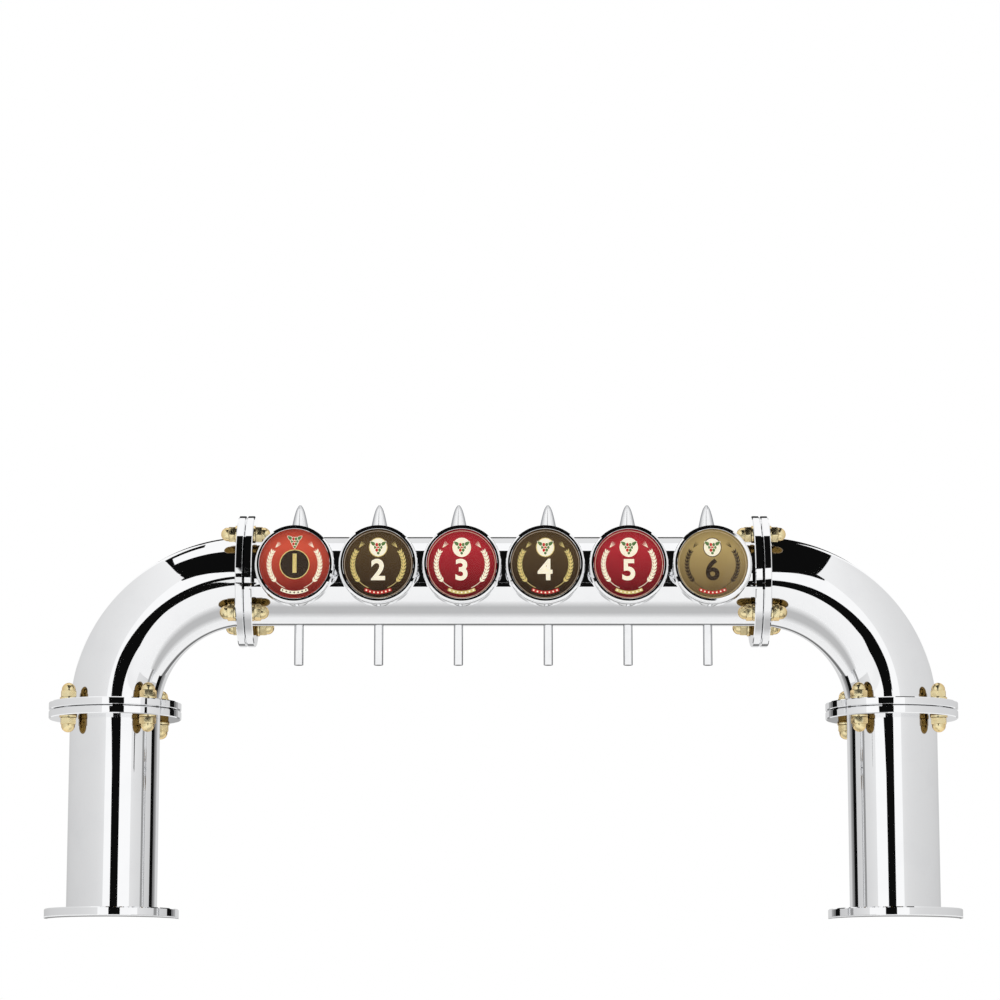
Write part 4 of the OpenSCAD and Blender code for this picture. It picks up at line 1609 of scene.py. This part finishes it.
@dataclass
class Studio:
    """The pale floor, the cards that the chrome mirrors, the world and the camera.

    Args:
        eye: The camera's place.
        tilt: Its upward tilt in radians.
        lens: Its focal length, in mm.
        sensor: The width of its sensor, in mm.
        front: Y of the cards in front of the object.
        ceiling: Height of the cards above it.
        elbow_front: Y of the small cards that the elbows mirror.
        rear: Y of the rearmost cards.
        floor_half: Half of the floor's width.
        floor_z: Height of the floor, just under the part and the cards on it.
        floor_white: Level of the floor in the chrome.
        floor_share: Share of that level, the rest being the lit floor.
        mark_radius: Radius of the marks under the base plates.
        lamp_place: Where the lamp hangs.
        lamp_aim: The point that it faces.
        lamp_size: Its length and width.
        lamp_power: Its power in watts.
        sky: Level of the world's light on matt surfaces.
    """

    eye: Point = (-0.003976, -3.8962, -0.1651)
    tilt: float = 0.1657
    lens: float = 121.41
    sensor: float = 36.0
    front: float = -2.05
    ceiling: float = 2.5
    elbow_front: float = -0.5
    rear: float = 1.9
    floor_half: float = 12.0
    floor_z: float = -0.0006
    floor_white: float = 0.97
    floor_share: float = 0.7
    mark_radius: float = 0.0772
    lamp_place: Point = (-0.6, -1.2, 2.4)
    lamp_aim: Point = (0, 0, 0.2)
    lamp_size: Tuple[float, float] = (2.4, 1.6)
    lamp_power: float = 14.0
    sky: float = 0.85

    def front_hood(self) -> Card:
        """Describes the black hood in front, which the tubes mirror as dark bands.

        Returns:
            The card.
        """
        left = [(-0.39, -0.6), (-0.405, 0.2), (-0.42, 0.34), (-0.50, 0.40), (-0.60, 0.452),
                (-0.657, 0.475), (-0.725, 0.524), (-0.765, 0.570), (-0.715, 0.588),
                (-0.55, 0.578), (-0.50, 0.572), (-0.45, 0.61), (-0.465, 0.97), (-0.687, 1.288),
                (-0.824, 1.424), (-0.986, 1.513), (-1.139, 1.79), (-1.30, 2.05),
                (-1.47, self.ceiling)]
        right = [(1.47, self.ceiling), (1.30, 2.05), (1.139, 1.81), (0.986, 1.513),
                 (0.824, 1.424), (0.687, 1.288), (0.475, 0.97), (0.36, 0.6), (0.31, 0.2),
                 (0.31, -0.6)]
        return Card("front_hood", upright(self.front, left + right))

    def ceiling_cards(self) -> List[Card]:
        """Lists the black cards above the object.

        Returns:
            The cards.
        """
        half = [(-1.47, self.front), (-1.50, -1.50), (-1.54, -0.10), (-1.40, -0.12),
                (-0.95, -0.28), (-0.60, -0.45)]
        rear_right = [(0.60, -0.46), (0.95, -0.29), (1.40, -0.13), (1.47, -0.11),
                      (1.47, self.rear), (0.60, self.rear)]
        sliver = [(-1.54, -0.10), (-1.47, -0.11), (-1.47, 1.15), (-1.0, 1.05),
                  (-1.0, self.rear), (-1.60, self.rear)]
        return [Card(name, lying(self.ceiling, outline)) for name, outline in (
            ("overhead", half + flipped(half)), ("overhead_right_rear", rear_right),
            ("overhead_left", sliver), ("overhead_right", flipped(sliver)))]

    def elbow_cards(self) -> List[Card]:
        """Lists the small black cards that draw a strip on one elbow and a spot on the other.

        Returns:
            The cards.
        """
        strip = [
            (0.279, 0.241), (0.292, 0.243), (0.305, 0.248), (0.320, 0.251), (0.327, 0.239),
            (0.341, 0.239), (0.341, 0.344), (0.3505, 0.362), (0.357, 0.371), (0.374, 0.381),
            (0.413, 0.374), (0.4515, 0.365), (0.456, 0.348), (0.4616, 0.331), (0.4567, 0.319),
            (0.444, 0.308), (0.437, 0.297), (0.412, 0.297), (0.395, 0.310), (0.375, 0.318),
            (0.355, 0.318), (0.345, 0.305), (0.335, 0.300), (0.279, 0.300)]
        spot = [(-0.350, 0.310), (-0.318, 0.300), (-0.318, 0.262), (-0.324, 0.246),
                (-0.334, 0.246), (-0.336, 0.285)]
        return [Card("elbow_strip_right", upright(self.elbow_front, strip)),
                Card("elbow_spot_left", upright(self.elbow_front, spot))]

    def dark_cards(self) -> List[Card]:
        """Lists the black cards in front of, above and behind the object.

        Returns:
            The cards.
        """
        return [
            self.front_hood(), *self.ceiling_cards(), *self.elbow_cards(),
            Card("front_rail", lying(0.275, oblong(-0.31, 0.31, -0.60, -0.31)), one_sided=True),
            Card("back_band", upright(1.60, oblong(-0.80, 0.80, 1.00, 1.70))),
            Card("back_right", upright(self.rear, oblong(0.56, 0.95, 1.2, self.ceiling))),
        ]

    def tap_cards(self) -> List[Card]:
        """Lists the cards in front of and above the handles and spouts, facing them.

        Returns:
            The cards.
        """
        foot, top = 0.45, 0.60
        return [
            Card("handle_fill", upright(0.03, oblong(0.33, -0.33, foot, top)), 0.97, True),
            Card("handle_line", upright(0.032, oblong(-0.005, -0.015, foot, top)), 0.30, True,
                 TAP_PLACES),
            Card("handle_roof", lying(top, oblong(0.30, -0.30, 0.03, 0.20)), 0.80, True),
            Card("spout_fill", upright(0.064, oblong(0.33, -0.33, 0.29, 0.372)), 0.97, True),
        ]

    def grey_cards(self) -> List[Card]:
        """Lists the soft boxes and grey cards beside, under and behind the object.

        Returns:
            The cards.
        """
        cards: List[Card] = [
            Panel("under_shade", lying(0.0005, oblong(-0.42, 0.42, -0.26, 0.15)),
                  levels=(0.50, 0.50, 0.53, 0.53), fade=0.35),
            Panel("back_floor", lying(0.0004, oblong(-0.60, 0.60, 0.50, 1.20)),
                  levels=(0.1, 0.1, 0.3, 0.3), fade=0.2),
            Card("back_low", upright(1.35, oblong(-1.6, 1.6, 0.0, 0.55)), 0.68),
        ]
        for side in Side:
            s, label = side.value, side.name.lower()
            near_top, far_top = (1.03, 1.43) if side is Side.LEFT else (1.11, 1.64)
            cards += [
                Panel(f"side_panel_{label}",
                      ((s * 0.745, -1.0, 0.0), (s * 1.0, 1.2, 0.0), (s * 1.0, 1.2, far_top),
                       (s * 0.70, -1.0, near_top)), levels=(0.78, 0.50, 0.90, 0.92)),
                self.inward(f"inner_line_{label}", s * 0.40, -0.150, -0.055, 0.30, 0.30),
                self.inward(f"inner_shade_{label}", s * 0.50, 0.40, 0.74, BLACK),
                self.inward(f"inner_grey_{label}", s * 0.50, 0.74, 1.00, 0.22),
                self.inward(f"inner_pale_{label}", s * 0.50, 1.00, 1.40, 0.38),
            ]
        return cards

    def inward(self, name: str, x: float, front: float, back: float, level: float,
               top: float = 0.42) -> Card:
        """Describes an upright card beside one leg that only the other leg mirrors.

        Args:
            name: The card's name.
            x: Where it stands.
            front: Y of its front edge.
            back: Y of its back edge.
            level: Its level of light.
            top: Z of its upper edge.

        Returns:
            The card, which faces the middle and is clear from behind.
        """
        first, last = (front, back) if x < 0 else (back, front)
        return Card(name, ((x, first, 0.0), (x, last, 0.0), (x, last, top), (x, first, top)),
                    level, one_sided=True)

    def floor(self) -> bpy.types.Object:
        """Builds the pale floor, which is clear from below.

        Returns:
            The floor.
        """
        bm = bmesh.new()
        bmesh.ops.create_grid(bm, x_segments=1, y_segments=1, size=self.floor_half)
        bmesh.ops.translate(bm, verts=bm.verts, vec=(0, 0, self.floor_z))
        made, g = bare_material("pale_floor")
        shader = g.node("ShaderNodeBsdfPrincipled")
        mottle = g.span(g.noise(g.own_place(), 6.0, 3.0), 0.3, 0.7)
        g.feed(shader.inputs["Base Color"],
               g.mix(mottle, (0.86, 0.86, 0.86, 1), (0.89, 0.89, 0.885, 1)))
        shader.inputs["Roughness"].default_value = 0.8
        shader.inputs["Specular IOR Level"].default_value = 0.0
        mirrored = g.maths("MULTIPLY", g.node("ShaderNodeLightPath").outputs["Is Glossy Ray"],
                           self.floor_share)
        g.surface(g.clear_behind(g.blend(mirrored, shader.outputs[0], g.glow(self.floor_white))))
        floor = add_piece("floor", bm, [made])
        return floor

    def counter_marks(self) -> None:
        """Lays a pale disc and its thin shade under each base plate, seen only from below."""
        for name, level, z, back in (("mark_shade", 0.30, -0.0003, 0.0),
                                     ("mark_pale", 1.0, -0.0005, 0.024)):
            bm = bmesh.new()
            for side in Side:
                bmesh.ops.create_circle(bm, cap_ends=True, segments=96, radius=self.mark_radius,
                                        matrix=Matrix.Translation((side.value * LEG_X, back, z)))
            for face in bm.faces:
                if face.normal.z > 0:
                    face.normal_flip()
            made, g = bare_material(name)
            g.surface(g.clear_behind(g.glow(level)))
            disc = add_piece(name, bm, [made])
            disc.visible_diffuse = disc.visible_glossy = disc.visible_shadow = False

    def world(self) -> None:
        """Lights the scene evenly, with a white background."""
        world = bpy.data.worlds.new("studio")
        bpy.context.scene.world = world
        world.use_nodes = True
        world.node_tree.nodes.clear()
        g = Graph(world.node_tree)
        rays = g.node("ShaderNodeLightPath")
        plain = g.maths("MAXIMUM", rays.outputs["Is Camera Ray"],
                        g.maths("MAXIMUM", rays.outputs["Is Glossy Ray"],
                                rays.outputs["Is Transmission Ray"]))
        back = g.node("ShaderNodeBackground")
        back.inputs["Color"].default_value = (1, 1, 1, 1)
        g.feed(back.inputs["Strength"], g.span(plain, 0.0, 1.0, self.sky, 1.0))
        g.feed(g.node("ShaderNodeOutputWorld").inputs["Surface"], back.outputs[0])

    def lamp(self) -> None:
        """Adds one large soft lamp above the object for a little modelling."""
        data = bpy.data.lights.new("soft_lamp", "AREA")
        data.shape, data.energy = "RECTANGLE", self.lamp_power
        data.size, data.size_y = self.lamp_size
        lamp = bpy.data.objects.new("soft_lamp", data)
        bpy.context.scene.collection.objects.link(lamp)
        lamp.location = self.lamp_place
        aim = Vector(self.lamp_aim) - lamp.location
        lamp.rotation_euler = aim.to_track_quat("-Z", "Y").to_euler()
        lamp.visible_glossy = lamp.visible_camera = False

    def camera(self) -> None:
        """Sets the camera at the photograph's place and angle."""
        data = bpy.data.cameras.new("camera")
        data.lens, data.sensor_width, data.clip_end = self.lens, self.sensor, 100.0
        camera = bpy.data.objects.new("camera", data)
        bpy.context.scene.collection.objects.link(camera)
        camera.location = self.eye
        camera.rotation_euler = (math.pi / 2 + self.tilt, 0, 0)
        bpy.context.scene.camera = camera

    def build(self) -> None:
        """Sets the whole studio."""
        self.camera()
        self.floor()
        self.counter_marks()
        for card in self.dark_cards() + self.tap_cards() + self.grey_cards():
            card.build()
        self.world()
        self.lamp()
        bpy.context.scene.view_settings.view_transform = "Standard"


def main() -> None:
    """Builds the sub-assemblies in order and reports each piece."""
    logging.basicConfig(level=logging.INFO, format="%(name)s: %(message)s")
    Studio().build()
    for assembly in (Tower(), BadgeRow(), TapRow()):
        assembly.dress()
        for piece in assembly.build():
            LOG.info("%s: %d faces", piece.name, len(piece.data.polygons))


if __name__ == "__main__":
    main()
